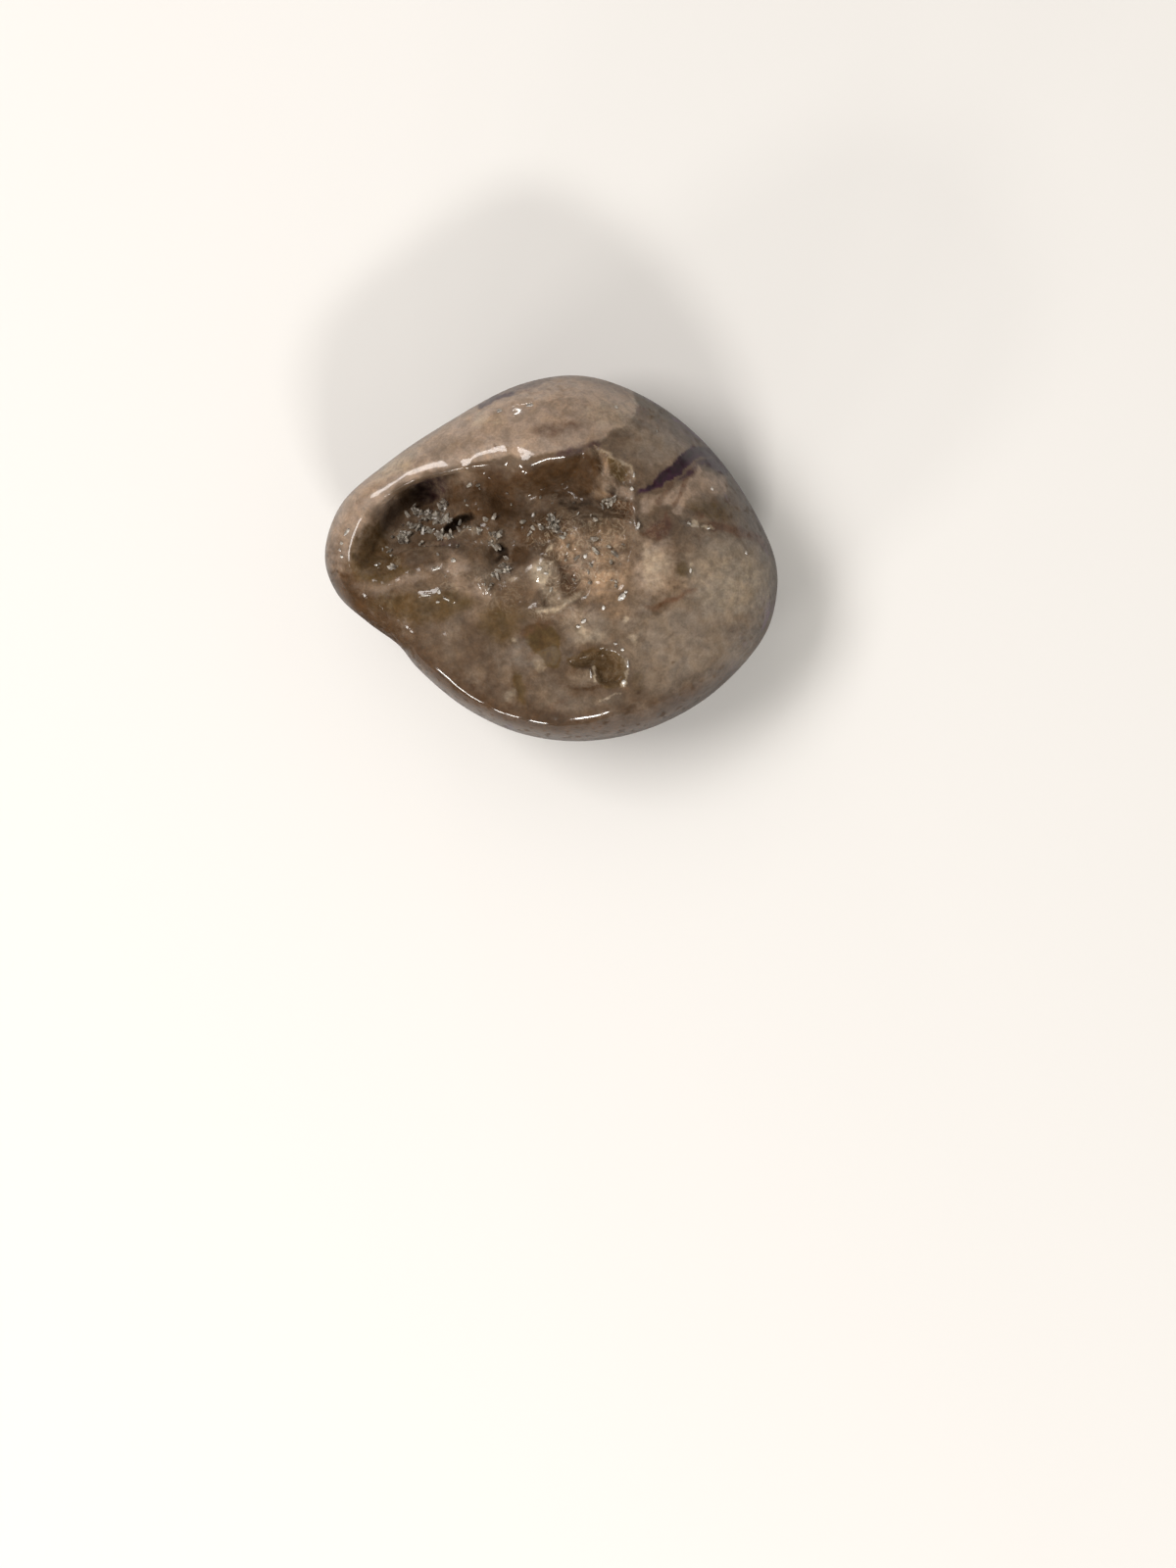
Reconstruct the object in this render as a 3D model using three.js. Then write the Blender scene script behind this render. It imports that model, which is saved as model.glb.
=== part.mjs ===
// A tumbled charoite: one piece of polished rock, 35 mm long, with a rough natural hollow
// that the tumbling did not reach. Millimetres, +Z up. The stone lies on a small flat of its
// underside, and the origin is the middle of its footprint, on that flat. +X runs along the
// stone to its broad end, and +Y runs across it to the smooth lobe above the hollow.
import * as THREE from "three";

// Heights above the flat
const TOP_HEIGHT = 15.8; // the dome, before anything is worn out of it
const NARROW_END_DROP = 2.2; // how much lower the dome is at the narrow end
const NEAR_SIDE_DROP = 0.8; // the same, at the near side
const GIRDLE_HEIGHT = 6.9; // the widest section, which leans as the stone lies
const GIRDLE_LEAN = 1.3;
const HIGHEST_GIRDLE = THREE.MathUtils.degToRad(215); // bearing where it is highest
const FLAT_CUT = 0.35; // how far the flat is worn into the round underside

// How square the section is between girdle and top: 2 is an ellipse, and more is squarer
const UNDERSIDE_SQUARENESS = 2.1;
const SHOULDER_SQUARENESS = 3.1;
const SHOULDER_CHANGE = 0.7;
const SOFTEST_SHOULDER = THREE.MathUtils.degToRad(40); // bearing of the roundest shoulder

// The mesh: a subdivided icosahedron, drawn together over the crown, where the detail is
const SPLITS = 21;
const CROWDING = 0.4;

// The girdle seen from above, anticlockwise from the broad end
const GIRDLE = [
  [17.4, 0.0], [14.8, 5.4], [11.4, 9.6], [7.3, 12.6], [2.5, 14.2], [-2.4, 13.5],
  [-8.5, 10.2], [-12.7, 7.3], [-16.3, 4.0], [-17.5, 0.0], [-16.5, -2.9], [-14.1, -5.1],
  [-11.8, -6.8], [-10.3, -8.6], [-6.7, -11.6], [-2.4, -13.6], [2.5, -14.2], [7.6, -13.2],
  [12.5, -10.5], [16.5, -6.1], [17.5, -3.0],
];

// The mouth of the hollow seen from above, clockwise from its narrow end
const HOLLOW_MOUTH = [
  [-15.9, 0.3], [-15.0, 2.3], [-13.3, 4.0], [-11.1, 5.3], [-8.4, 6.1], [-4.7, 6.7],
  [-0.6, 7.5], [2.8, 8.1], [4.0, 6.9], [4.4, 5.2], [6.5, 3.9], [6.3, 2.3], [3.3, 1.7],
  [0.9, 0.8], [-1.4, -1.4], [-4.3, -3.0], [-6.6, -1.7], [-9.9, -1.7], [-12.9, -2.3],
  [-15.0, -1.7],
];
const HOLLOW_DEPTH = 2.1; // everywhere inside the mouth
const FAR_WALL = 2.1; // width of the wall under the lobe, where it is steepest
const NEAR_WALL = 3.4; // width of the slope on the near side
const WALL_CHANGE = [3.5, -1.5]; // the wall widens between these distances from the middle line
const MIDDLE_LINE_SLOPE = 0.15; // of that line, which follows the hollow

// Deeper places in the floor of the hollow. In each bowl, at is its middle, half its two half
// widths, turn its bearing in degrees, depth how far it goes down, and rim the share of the
// half width over which it does so.
const HOLLOW_BOWLS = [
  { at: [-10.6, 3.0], half: [5.2, 3.6], turn: 18, depth: 2.0, rim: 0.85 }, // pocket
  { at: [-7.3, 2.5], half: [2.2, 1.1], turn: 27, depth: 0.8, rim: 0.9 }, // slot in the pocket
  { at: [-0.4, 4.6], half: [5.8, 3.2], turn: 11, depth: 1.4, rim: 0.95 }, // basin
  { at: [-4.4, -0.1], half: [1.7, 1.3], turn: 60, depth: 0.6, rim: 0.9 }, // dimple
];

// The rough ledge beside the hollow: its edge seen from above, and the step down to it
const LEDGE_EDGE = [
  [-1.9, 2.6], [1.4, 3.4], [5.6, 3.3], [6.5, 1.5], [6.0, -0.7], [5.9, -2.3], [5.1, -3.4],
  [3.4, -3.3], [2.3, -4.1], [0.8, -3.4], [-0.6, -4.1], [-1.3, -2.7], [-1.1, -0.8], [-2.2, 0.6],
];
const LEDGE_DEPTH = 0.75;
const LEDGE_WALL = 1.1;

// What is worn or broken out of the face outside the hollow
const FACE_BOWLS = [
  { at: [-1.5, -4.6], half: [13.0, 8.6], turn: -8, depth: 1.2, rim: 1.0 }, // broad dish
  { at: [3.9, -9.0], half: [2.2, 1.6], turn: -25, depth: 1.1, rim: 0.75 }, // pit
  { at: [2.0, -8.1], half: [1.6, 0.9], turn: 14, depth: 0.5, rim: 0.9 }, // its side lobe
  { at: [-0.8, -6.9], half: [1.5, 2.0], turn: 12, depth: 0.45, rim: 0.8 }, // dent
  { at: [-2.4, -10.4], half: [0.8, 1.7], turn: 20, depth: 0.4, rim: 0.9 }, // groove
  { at: [11.0, 2.3], half: [1.5, 0.8], turn: -4, depth: 0.35, rim: 0.8 }, // chip
];

// What stands up: each welt is a line of points with its height and its half width
const WELTS = [
  { line: [[-13.7, 4.9], [-11.4, 6.2], [-8.4, 7.2], [-2.8, 8.1], [1.6, 9.0]], height: 0.55, half: 1.2 },
  { line: [[-15.9, -2.0], [-12.3, -2.6], [-9.2, -1.7], [-7.4, -0.6]], height: 0.5, half: 0.8 },
  { line: [[5.3, 6.9], [5.4, 5.5]], height: 0.5, half: 1.2 },
  { line: [[-1.4, -1.6], [-0.3, -4.2]], height: 0.45, half: 0.6 },
  { line: [[-0.3, -4.3], [2.8, -3.6], [5.9, -2.6]], height: 0.3, half: 0.5 },
];

// How far the edges of bowls and welts wander, lumps of the rough floor, and slow swells of the
// polished skin
const WANDER = 0.45;
const WANDER_SIZE = 2.6;
const WANDER_LAYERS = [11.5, 23.5]; // where in the noise the two directions are read
const LUMP_SIZE = 1.9;
const LUMP_HEIGHT = 0.42;
const SWELL_SIZE = 7.5;
const SWELL_HEIGHT = 0.2;
const SWELL_LAYERS = [7, 8.5]; // where in the noise the girdle and the top are read

const STONE_COLOUR = 0x7a6858;

// Rises smoothly from 0 at a to 1 at b.
function ease(a, b, value) {
  const t = THREE.MathUtils.clamp((value - a) / (b - a), 0, 1);
  return t * t * (3 - 2 * t);
}

// A fixed number from 0 to 1 for each corner of a grid.
function cornerValue(i, j, k) {
  const wave = Math.sin(i * 127.1 + j * 311.7 + k * 74.7) * 43758.5453;
  return wave - Math.floor(wave);
}

// Smooth noise from -1 to 1, one lump for each unit of distance.
function noise(x, y, z) {
  const [i, j, k] = [Math.floor(x), Math.floor(y), Math.floor(z)];
  const [u, v, w] = [ease(0, 1, x - i), ease(0, 1, y - j), ease(0, 1, z - k)];
  const { lerp } = THREE.MathUtils;
  const layer = (m) =>
    lerp(
      lerp(cornerValue(i, j, m), cornerValue(i + 1, j, m), u),
      lerp(cornerValue(i, j + 1, m), cornerValue(i + 1, j + 1, m), u),
      v,
    );
  return 2 * lerp(layer(k), layer(k + 1), w) - 1;
}

// The points of a smooth closed curve through the given ones.
function closedCurve(points, count) {
  const corners = points.map(([x, y]) => new THREE.Vector3(x, y, 0));
  return new THREE.CatmullRomCurve3(corners, true, "centripetal").getPoints(count);
}

const GIRDLE_STEPS = 720;
const girdleRadii = radiiByBearing(closedCurve(GIRDLE, GIRDLE_STEPS), GIRDLE_STEPS);

// How far the curve lies from the origin at each of count equal bearings.
function radiiByBearing(curve, count) {
  const radii = [];
  for (let n = 0; n < count; n++) {
    const bearing = (2 * Math.PI * n) / count;
    const [c, s] = [Math.cos(bearing), Math.sin(bearing)];
    let radius = 0;
    for (let m = 0; m + 1 < curve.length; m++) {
      const [a, b] = [curve[m], curve[m + 1]];
      const [sideA, sideB] = [c * a.y - s * a.x, c * b.y - s * b.x];
      if (sideA > 0 || sideB <= 0) continue;
      const share = sideA / (sideA - sideB);
      radius = c * THREE.MathUtils.lerp(a.x, b.x, share) + s * THREE.MathUtils.lerp(a.y, b.y, share);
    }
    radii.push(radius);
  }
  return radii;
}

function girdleRadius(bearing) {
  const turn = THREE.MathUtils.euclideanModulo(bearing / (2 * Math.PI), 1) * GIRDLE_STEPS;
  const n = Math.floor(turn);
  return THREE.MathUtils.lerp(girdleRadii[n % GIRDLE_STEPS], girdleRadii[(n + 1) % GIRDLE_STEPS], turn - n);
}

// Distance from a point to a line of points.
function distanceTo(line, x, y) {
  let least = Infinity;
  for (let m = 0; m + 1 < line.length; m++) {
    const [ax, ay] = line[m];
    const [bx, by] = line[m + 1];
    const along = ((x - ax) * (bx - ax) + (y - ay) * (by - ay)) / ((bx - ax) ** 2 + (by - ay) ** 2);
    const t = THREE.MathUtils.clamp(along, 0, 1);
    least = Math.min(least, Math.hypot(x - ax - t * (bx - ax), y - ay - t * (by - ay)));
  }
  return least;
}

const EDGE_STEPS = 120;
const smoothEdge = (points) => closedCurve(points, EDGE_STEPS).map((p) => [p.x, p.y]);
const hollowEdge = smoothEdge(HOLLOW_MOUTH);
const ledgeEdge = smoothEdge(LEDGE_EDGE);

// Distance inside a closed edge, and 0 outside it.
function distanceInside(edge, x, y) {
  let inside = false;
  for (let m = 0; m + 1 < edge.length; m++) {
    const [[ax, ay], [bx, by]] = [edge[m], edge[m + 1]];
    if (ay > y !== by > y && x < ax + ((bx - ax) * (y - ay)) / (by - ay)) inside = !inside;
  }
  return inside ? distanceTo(edge, x, y) : 0;
}

// Depth of a bowl at a point.
function bowlDepth({ at, half, turn, depth, rim }, x, y) {
  const angle = THREE.MathUtils.degToRad(turn);
  const [dx, dy] = [x - at[0], y - at[1]];
  const along = (dx * Math.cos(angle) + dy * Math.sin(angle)) / half[0];
  const across = (dy * Math.cos(angle) - dx * Math.sin(angle)) / half[1];
  return depth * ease(1, 1 - rim, Math.hypot(along, across));
}

function weltHeight({ line, height, half }, x, y) {
  return height * Math.exp(-((distanceTo(line, x, y) / half) ** 2));
}

const total = (items, measure) => items.reduce((sum, item) => sum + measure(item), 0);

// How far the face lies below the plain dome at a point seen from above.
function wornDepth(plainX, plainY) {
  const [layerX, layerY] = WANDER_LAYERS;
  const x = plainX + WANDER * noise(plainX / WANDER_SIZE, plainY / WANDER_SIZE, layerX);
  const y = plainY + WANDER * noise(plainX / WANDER_SIZE, plainY / WANDER_SIZE, layerY);
  const nearness = ease(...WALL_CHANGE, y - MIDDLE_LINE_SLOPE * x);
  const wallWidth = THREE.MathUtils.lerp(FAR_WALL, NEAR_WALL, nearness);
  const inHollow = ease(0, wallWidth, distanceInside(hollowEdge, x, y));
  const hollow = inHollow * (HOLLOW_DEPTH + total(HOLLOW_BOWLS, (bowl) => bowlDepth(bowl, x, y)));
  const onLedge = ease(0, LEDGE_WALL, distanceInside(ledgeEdge, x, y));
  const face = total(FACE_BOWLS, (bowl) => bowlDepth(bowl, x, y));
  const welts = total(WELTS, (welt) => weltHeight(welt, x, y));
  const lumps = LUMP_HEIGHT * Math.max(inHollow, onLedge) * noise(x / LUMP_SIZE, y / LUMP_SIZE, 0);
  return Math.max(hollow, LEDGE_DEPTH * onLedge) + face - welts + lumps;
}

// Height of the plain dome at a point seen from above.
function domeHeight(x, y) {
  return TOP_HEIGHT - NARROW_END_DROP * ease(3, -17, x) - NEAR_SIDE_DROP * ease(4, -14, y);
}

// Draws the points of the unit sphere together at its top, and keeps their triangles' shape.
function crowd(point) {
  const shrink = Math.sqrt(1 - CROWDING ** 2) / (1 + CROWDING * point.z);
  return new THREE.Vector3(
    point.x * shrink,
    point.y * shrink,
    (point.z + CROWDING) / (1 + CROWDING * point.z),
  );
}

// The point of the stone's skin for a point of the unit sphere.
function skinPoint(unit) {
  const { x: ux, y: uy, z: up } = crowd(unit);
  const out = Math.hypot(ux, uy);
  const bearing = Math.atan2(uy, ux);
  const shoulder = SHOULDER_SQUARENESS - SHOULDER_CHANGE * Math.cos(bearing - SOFTEST_SHOULDER);
  const power = up >= 0 ? shoulder : UNDERSIDE_SQUARENESS;
  const norm = (out ** power + Math.abs(up) ** power) ** (1 / power);
  const radius = (girdleRadius(bearing) * out) / norm;
  const [x, y] = [radius * Math.cos(bearing), radius * Math.sin(bearing)];
  const rise = up / norm;
  const layer = THREE.MathUtils.lerp(...SWELL_LAYERS, rise);
  const swell = SWELL_HEIGHT * rise * noise(x / SWELL_SIZE, y / SWELL_SIZE, layer);
  const girdle = GIRDLE_HEIGHT + GIRDLE_LEAN * Math.cos(bearing - HIGHEST_GIRDLE);
  const z =
    up >= 0
      ? THREE.MathUtils.lerp(girdle, domeHeight(x, y), rise) + swell - wornDepth(x, y)
      : Math.max(0, girdle + (girdle + FLAT_CUT) * rise + swell);
  return new THREE.Vector3(x, y, z);
}

function stoneGeometry() {
  const geometry = new THREE.IcosahedronGeometry(1, SPLITS);
  const position = geometry.getAttribute("position");
  const unit = new THREE.Vector3();
  for (let n = 0; n < position.count; n++) {
    unit.fromBufferAttribute(position, n);
    const { x, y, z } = skinPoint(unit);
    position.setXYZ(n, x, y, z);
  }
  geometry.computeBoundingBox();
  const { min, max } = geometry.boundingBox;
  geometry.translate(-(min.x + max.x) / 2, -(min.y + max.y) / 2, 0);
  geometry.computeVertexNormals();
  return geometry;
}

const polished = new THREE.MeshStandardMaterial({ color: STONE_COLOUR, roughness: 0.16, metalness: 0 });

const stone = new THREE.Mesh(stoneGeometry(), polished);
stone.name = "stone";

const charoite = new THREE.Group();
charoite.add(stone);

export default charoite;
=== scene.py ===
"""The looks of a tumbled charoite, a polished pebble of rock lying on a pale floor.

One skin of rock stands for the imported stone. It follows the same named shape, with finer relief,
and carries one mask for each tint of the rock. Small druse crystals sit in its hollow, and single
crystal faces glint on it. Lengths in the classes are millimetres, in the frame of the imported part,
and MM turns them into metres.
"""
import logging
import math
from collections.abc import Callable
from dataclasses import dataclass, field, replace
from enum import Enum
from typing import ClassVar

import bmesh
import bpy
import numpy as np
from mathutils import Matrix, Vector


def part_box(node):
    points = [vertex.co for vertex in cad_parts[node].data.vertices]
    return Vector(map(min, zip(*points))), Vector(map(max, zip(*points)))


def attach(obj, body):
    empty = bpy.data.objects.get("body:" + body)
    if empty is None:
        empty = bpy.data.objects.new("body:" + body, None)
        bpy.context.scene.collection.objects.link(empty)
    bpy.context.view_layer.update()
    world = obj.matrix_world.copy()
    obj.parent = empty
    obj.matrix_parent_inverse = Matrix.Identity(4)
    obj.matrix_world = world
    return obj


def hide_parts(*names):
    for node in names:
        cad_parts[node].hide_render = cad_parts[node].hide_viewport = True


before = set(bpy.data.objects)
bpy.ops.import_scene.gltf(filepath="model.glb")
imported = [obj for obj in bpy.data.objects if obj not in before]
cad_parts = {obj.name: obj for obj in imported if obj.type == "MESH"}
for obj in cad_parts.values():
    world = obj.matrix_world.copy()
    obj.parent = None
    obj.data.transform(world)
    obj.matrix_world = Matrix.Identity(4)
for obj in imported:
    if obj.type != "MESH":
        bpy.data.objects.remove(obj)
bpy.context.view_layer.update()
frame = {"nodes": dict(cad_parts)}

LOG = logging.getLogger("charoite")
MM = 0.001
# Points of the unit sphere that agree to this many digits are one point.
MATCH_DIGITS = 6
MEAN_NOISE = 0.5

Array = np.ndarray
Numbers = float | np.ndarray
Spot = tuple[float, float]
Line = tuple[Spot, ...]
Point = tuple[float, float, float]
Colour = tuple[float, float, float]
Socket = bpy.types.NodeSocket


class Tint(Enum):
    """The tints of the rock, from the lowest to the topmost, and last its dull places; umber and
    dark also serve as painted shade.
    """

    LOBE = "lobe"
    GREY = "grey"
    TAN = "tan"
    OLIVE = "olive"
    RUSSET = "russet"
    UMBER_AND_SHADE = "umber"
    VIOLET = "violet"
    CREAM = "cream"
    DARK = "dark"
    WORN = "worn"


def ease(start: Numbers, end: Numbers, value: Numbers) -> Numbers:
    """Rises smoothly from 0 at start to 1 at end.

    Args:
        start: the value where the rise begins.
        end: the value where it ends, which may be below start.
        value: the values to ease.

    Returns:
        Numbers from 0 to 1, one for each value.
    """
    t = np.clip((value - start) / (end - start), 0.0, 1.0)
    return t * t * (3.0 - 2.0 * t)


def blend(first: Numbers, second: Numbers, share: Numbers) -> Numbers:
    """Goes from first to second as share goes from 0 to 1."""
    return first + (second - first) * share


class Lumps:
    """Fixed smooth noise, so that every run makes the same stone.

    TURNS and SCATTER mix a corner's three numbers into one that looks random. LAYER_GAP keeps the
    sizes of rough noise apart, and GAIN brings it up to about 1. The crystals are pyramids, at
    least LOWEST_CRYSTAL high, that fall off by CRYSTAL_SLOPE, and faster across than along.
    """

    TURNS: ClassVar[Point] = (127.1, 311.7, 74.7)
    SCATTER: ClassVar[float] = 43758.5453
    LAYER_GAP: ClassVar[float] = 7.3
    GAIN: ClassVar[float] = 1.25
    LOWEST_CRYSTAL: ClassVar[float] = 0.45
    CRYSTAL_SLOPE: ClassVar[float] = 1.15
    CRYSTAL_NARROWNESS: ClassVar[float] = 1.4

    @staticmethod
    def corner(i: Array, j: Array, k: Numbers) -> Array:
        """A fixed number for each corner of a grid.

        Args:
            i: the corner's first number.
            j: its second number.
            k: its third number.

        Returns:
            Numbers from 0 to 1.
        """
        turns = Lumps.TURNS
        wave = np.sin(i * turns[0] + j * turns[1] + k * turns[2]) * Lumps.SCATTER
        return wave - np.floor(wave)

    @staticmethod
    def smooth(x: Array, y: Array, z: Numbers) -> Array:
        """Smooth noise with one lump for each unit of distance.

        Args:
            x: first coordinate.
            y: second coordinate.
            z: third coordinate, or one number for a flat slice.

        Returns:
            Numbers from -1 to 1.
        """
        z = np.broadcast_to(np.asarray(z, float), x.shape)
        i, j, k = np.floor(x), np.floor(y), np.floor(z)
        u, v, w = ease(0, 1, x - i), ease(0, 1, y - j), ease(0, 1, z - k)

        def layer(m: Array) -> Array:
            """Blends one level of corners in the plane.

            Args:
                m: the level's number, for each point.

            Returns:
                Numbers from 0 to 1.
            """
            near = blend(Lumps.corner(i, j, m), Lumps.corner(i + 1, j, m), u)
            far = blend(Lumps.corner(i, j + 1, m), Lumps.corner(i + 1, j + 1, m), u)
            return blend(near, far, v)

        return 2.0 * blend(layer(k), layer(k + 1), w) - 1.0

    @staticmethod
    def rough(x: Array, y: Array, slice_at: float, octaves: int, falloff: float = 0.5) -> Array:
        """Noise with finer and finer lumps laid over each other.

        Args:
            x: first coordinate, in units of the largest lump.
            y: second coordinate.
            slice_at: where in the noise the plane is read.
            octaves: how many sizes of lump there are.
            falloff: how high each size is for the one before it.

        Returns:
            Numbers around -1 to 1.
        """
        total = np.zeros_like(x)
        for n in range(octaves):
            level = slice_at + Lumps.LAYER_GAP * n
            total += falloff**n * Lumps.smooth(x * 2.0**n, y * 2.0**n, level)
        return total * (1.0 - falloff) / (1.0 - falloff**octaves) * Lumps.GAIN

    @staticmethod
    def crystals(x: Array, y: Array, slice_at: float) -> Array:
        """Small pyramids turned at random, about one for each unit of area.

        Args:
            x: first coordinate, in units of a crystal's spacing.
            y: second coordinate.
            slice_at: which pattern of crystals it is.

        Returns:
            Heights from 0 to 1.
        """
        i, j = np.floor(x), np.floor(y)
        height = np.zeros_like(x)
        for di in (-1, 0, 1):
            for dj in (-1, 0, 1):
                ci, cj = i + di, j + dj
                px = x - ci - Lumps.corner(ci, cj, slice_at + 1.0)
                py = y - cj - Lumps.corner(ci, cj, slice_at + 2.0)
                turn = math.pi * Lumps.corner(ci, cj, slice_at + 3.0)
                tall = blend(Lumps.LOWEST_CRYSTAL, 1.0, Lumps.corner(ci, cj, slice_at + 4.0))
                u = np.abs(px * np.cos(turn) + py * np.sin(turn))
                v = np.abs(py * np.cos(turn) - px * np.sin(turn)) * Lumps.CRYSTAL_NARROWNESS
                height = np.maximum(height, tall - Lumps.CRYSTAL_SLOPE * np.maximum(u, v))
        return height


def near_only(line: Line | Array, reach: float, x: Array, y: Array,
              measure: Callable[[Array, Array], Array]) -> Array:
    """Works out a measure near a line, and takes it as 0 elsewhere.

    Args:
        line: the line's points.
        reach: how far from the line's box the measure is still worked out.
        x: first coordinate of the points.
        y: second coordinate.
        measure: gives the values for the points that are near.

    Returns:
        One value for each point.
    """
    low, high = np.min(line, axis=0) - reach, np.max(line, axis=0) + reach
    near = (x > low[0]) & (x < high[0]) & (y > low[1]) & (y < high[1])
    values = np.zeros(np.shape(x))
    values[near] = measure(x[near], y[near])
    return values


def oval_distance(at: Spot, half: Spot, turn: float, x: Array, y: Array) -> Array:
    """How far out of an oval each point is, with 0 at its middle and 1 on its edge.

    Args:
        at: the middle of the oval.
        half: its two half widths.
        turn: the bearing of the first half width, in degrees.
        x: first coordinate of the points.
        y: second coordinate.

    Returns:
        One distance for each point.
    """
    angle = math.radians(turn)
    dx, dy = x - at[0], y - at[1]
    along = (dx * math.cos(angle) + dy * math.sin(angle)) / half[0]
    across = (dy * math.cos(angle) - dx * math.sin(angle)) / half[1]
    return np.hypot(along, across)


def line_distance(line: Line | Array, x: Array, y: Array) -> Array:
    """Distance from each point to a line of points.

    Args:
        line: the line's points in order.
        x: first coordinate of the points.
        y: second coordinate.

    Returns:
        One distance for each point, in the units of the line.
    """
    least = np.full(np.shape(x), np.inf)
    for (ax, ay), (bx, by) in zip(line[:-1], line[1:]):
        run, climb = bx - ax, by - ay
        t = np.clip(((x - ax) * run + (y - ay) * climb) / (run**2 + climb**2), 0.0, 1.0)
        least = np.minimum(least, np.hypot(x - ax - t * run, y - ay - t * climb))
    return least


def closed_curve(corners: Line, count: int) -> Array:
    """A smooth closed curve through the given points.

    Args:
        corners: the points that the curve passes through.
        count: how many steps the curve is cut into.

    Returns:
        count + 1 points, the last one equal to the first.
    """
    ring = np.array(corners, float)
    turn = np.linspace(0.0, len(ring), count + 1)
    n = np.floor(turn).astype(int)
    t = (turn - n)[:, None]
    p = [ring[(n + k) % len(ring)] for k in (-1, 0, 1, 2)]
    gap = [np.sqrt(np.linalg.norm(b - a, axis=1))[:, None] for a, b in zip(p[:-1], p[1:])]
    leave = (p[1] - p[0]) / gap[0] - (p[2] - p[0]) / (gap[0] + gap[1]) + (p[2] - p[1]) / gap[1]
    arrive = (p[2] - p[1]) / gap[1] - (p[3] - p[1]) / (gap[1] + gap[2]) + (p[3] - p[2]) / gap[2]
    leave, arrive = leave * gap[1], arrive * gap[1]
    square = -3 * p[1] + 3 * p[2] - 2 * leave - arrive
    cube = 2 * p[1] - 2 * p[2] + leave + arrive
    return p[1] + leave * t + square * t**2 + cube * t**3


def distance_inside(edge: Array, x: Array, y: Array) -> Array:
    """Distance inside a closed edge.

    Args:
        edge: the points of the edge, the last equal to the first.
        x: first coordinate of the points.
        y: second coordinate.

    Returns:
        One distance for each point, and 0 outside the edge.
    """
    inside = np.zeros(np.shape(x), bool)
    for (ax, ay), (bx, by) in zip(edge[:-1], edge[1:]):
        if ay == by:
            continue
        crosses = (ay > y) != (by > y)
        inside ^= crosses & (x < ax + (bx - ax) * (y - ay) / (by - ay))
    return np.where(inside, line_distance(edge, x, y), 0.0)


def rise_inside(edge: Array, border: float, x: Array, y: Array) -> Array:
    """Rises from 0 on a closed edge to 1 inside it.

    Args:
        edge: the points of the edge, the last equal to the first.
        border: how far inside the edge the rise ends.
        x: first coordinate of the points.
        y: second coordinate.

    Returns:
        Numbers from 0 to 1, and 0 outside the edge.
    """
    return near_only(
        edge, 0.0, x, y, lambda px, py: ease(0.0, border, distance_inside(edge, px, py)))


def divided_sphere(splits: int) -> tuple[Array, Array]:
    """An icosahedron whose faces are divided evenly, blown up to the unit sphere.

    Args:
        splits: how many parts each of its edges is divided into.

    Returns:
        The points, and the triangles as rows of three point numbers.
    """
    core = bpy.data.meshes.new("core")
    cage = bmesh.new()
    bmesh.ops.create_icosphere(cage, subdivisions=1, radius=1.0)
    cage.to_mesh(core)
    cage.free()
    corners = np.array([v.co[:] for v in core.vertices])
    faces = np.array([p.vertices[:] for p in core.polygons])
    bpy.data.meshes.remove(core)

    steps = [(i, j) for i in range(splits + 1) for j in range(splits + 1 - i)]
    number = {step: n for n, step in enumerate(steps)}
    upright = [
        (number[i, j], number[i + 1, j], number[i, j + 1])
        for i, j in steps if i + j < splits
    ]
    hanging = [
        (number[i + 1, j], number[i + 1, j + 1], number[i, j + 1])
        for i, j in steps if i + j < splits - 1
    ]
    share = np.array(steps, float) / splits
    a, b, c = (corners[faces[:, k]][:, None, :] for k in range(3))
    grid = a + (b - a) * share[None, :, :1] + (c - a) * share[None, :, 1:]
    every = grid.reshape(-1, 3)
    _, first, same = np.unique(
        np.round(every, MATCH_DIGITS), axis=0, return_index=True, return_inverse=True)
    start = len(steps) * np.arange(len(faces))[:, None, None]
    triangles = (np.array(upright + hanging)[None] + start).reshape(-1, 3)
    points = every[first]
    points /= np.linalg.norm(points, axis=1)[:, None]
    return points, same.reshape(-1)[triangles]


def add_to_scene(name: str, data: bpy.types.ID) -> bpy.types.Object:
    """Puts a mesh, a light or a camera into the scene.

    Args:
        name: the object's name.
        data: what it shows.

    Returns:
        The object.
    """
    thing = bpy.data.objects.new(name, data)
    bpy.context.scene.collection.objects.link(thing)
    return thing


@dataclass(frozen=True)
class Bowl:
    """A rounded place worn out of the face, or a mound where its depth is negative.

    It is an oval with two half widths, and rim is the share of it that slopes.
    """

    at: Spot
    half: Spot
    turn: float
    depth: float
    rim: float

    def depth_at(self, x: Array, y: Array) -> Array:
        """How far the bowl goes down at each point."""
        distance = oval_distance(self.at, self.half, self.turn, x, y)
        return self.depth * ease(1.0, 1.0 - self.rim, distance)


@dataclass(frozen=True)
class Step:
    """A lowered part of the face with a free outline, and a wall as wide as wall says."""

    outline: Line
    depth: float
    wall: float
    edge_steps: int = 100

    def depth_at(self, x: Array, y: Array) -> Array:
        """How far the step lies below the face at each point."""
        edge = closed_curve(self.outline, self.edge_steps)
        return self.depth * rise_inside(edge, self.wall, x, y)


@dataclass(frozen=True)
class Welt:
    """A rounded ridge along a line, or a furrow where its height is negative.

    half is about its half width, and beyond reach times that nothing is left of it.
    """

    line: Line
    height: float
    half: float
    reach: float = 3.0

    def section(self, x: Array, y: Array) -> Array:
        """The ridge's share of its full height at points near it."""
        return np.exp(-((line_distance(self.line, x, y) / self.half) ** 2))

    def height_at(self, x: Array, y: Array) -> Array:
        """How far the ridge stands up at each point."""
        return self.height * near_only(self.line, self.reach * self.half, x, y, self.section)


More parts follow.
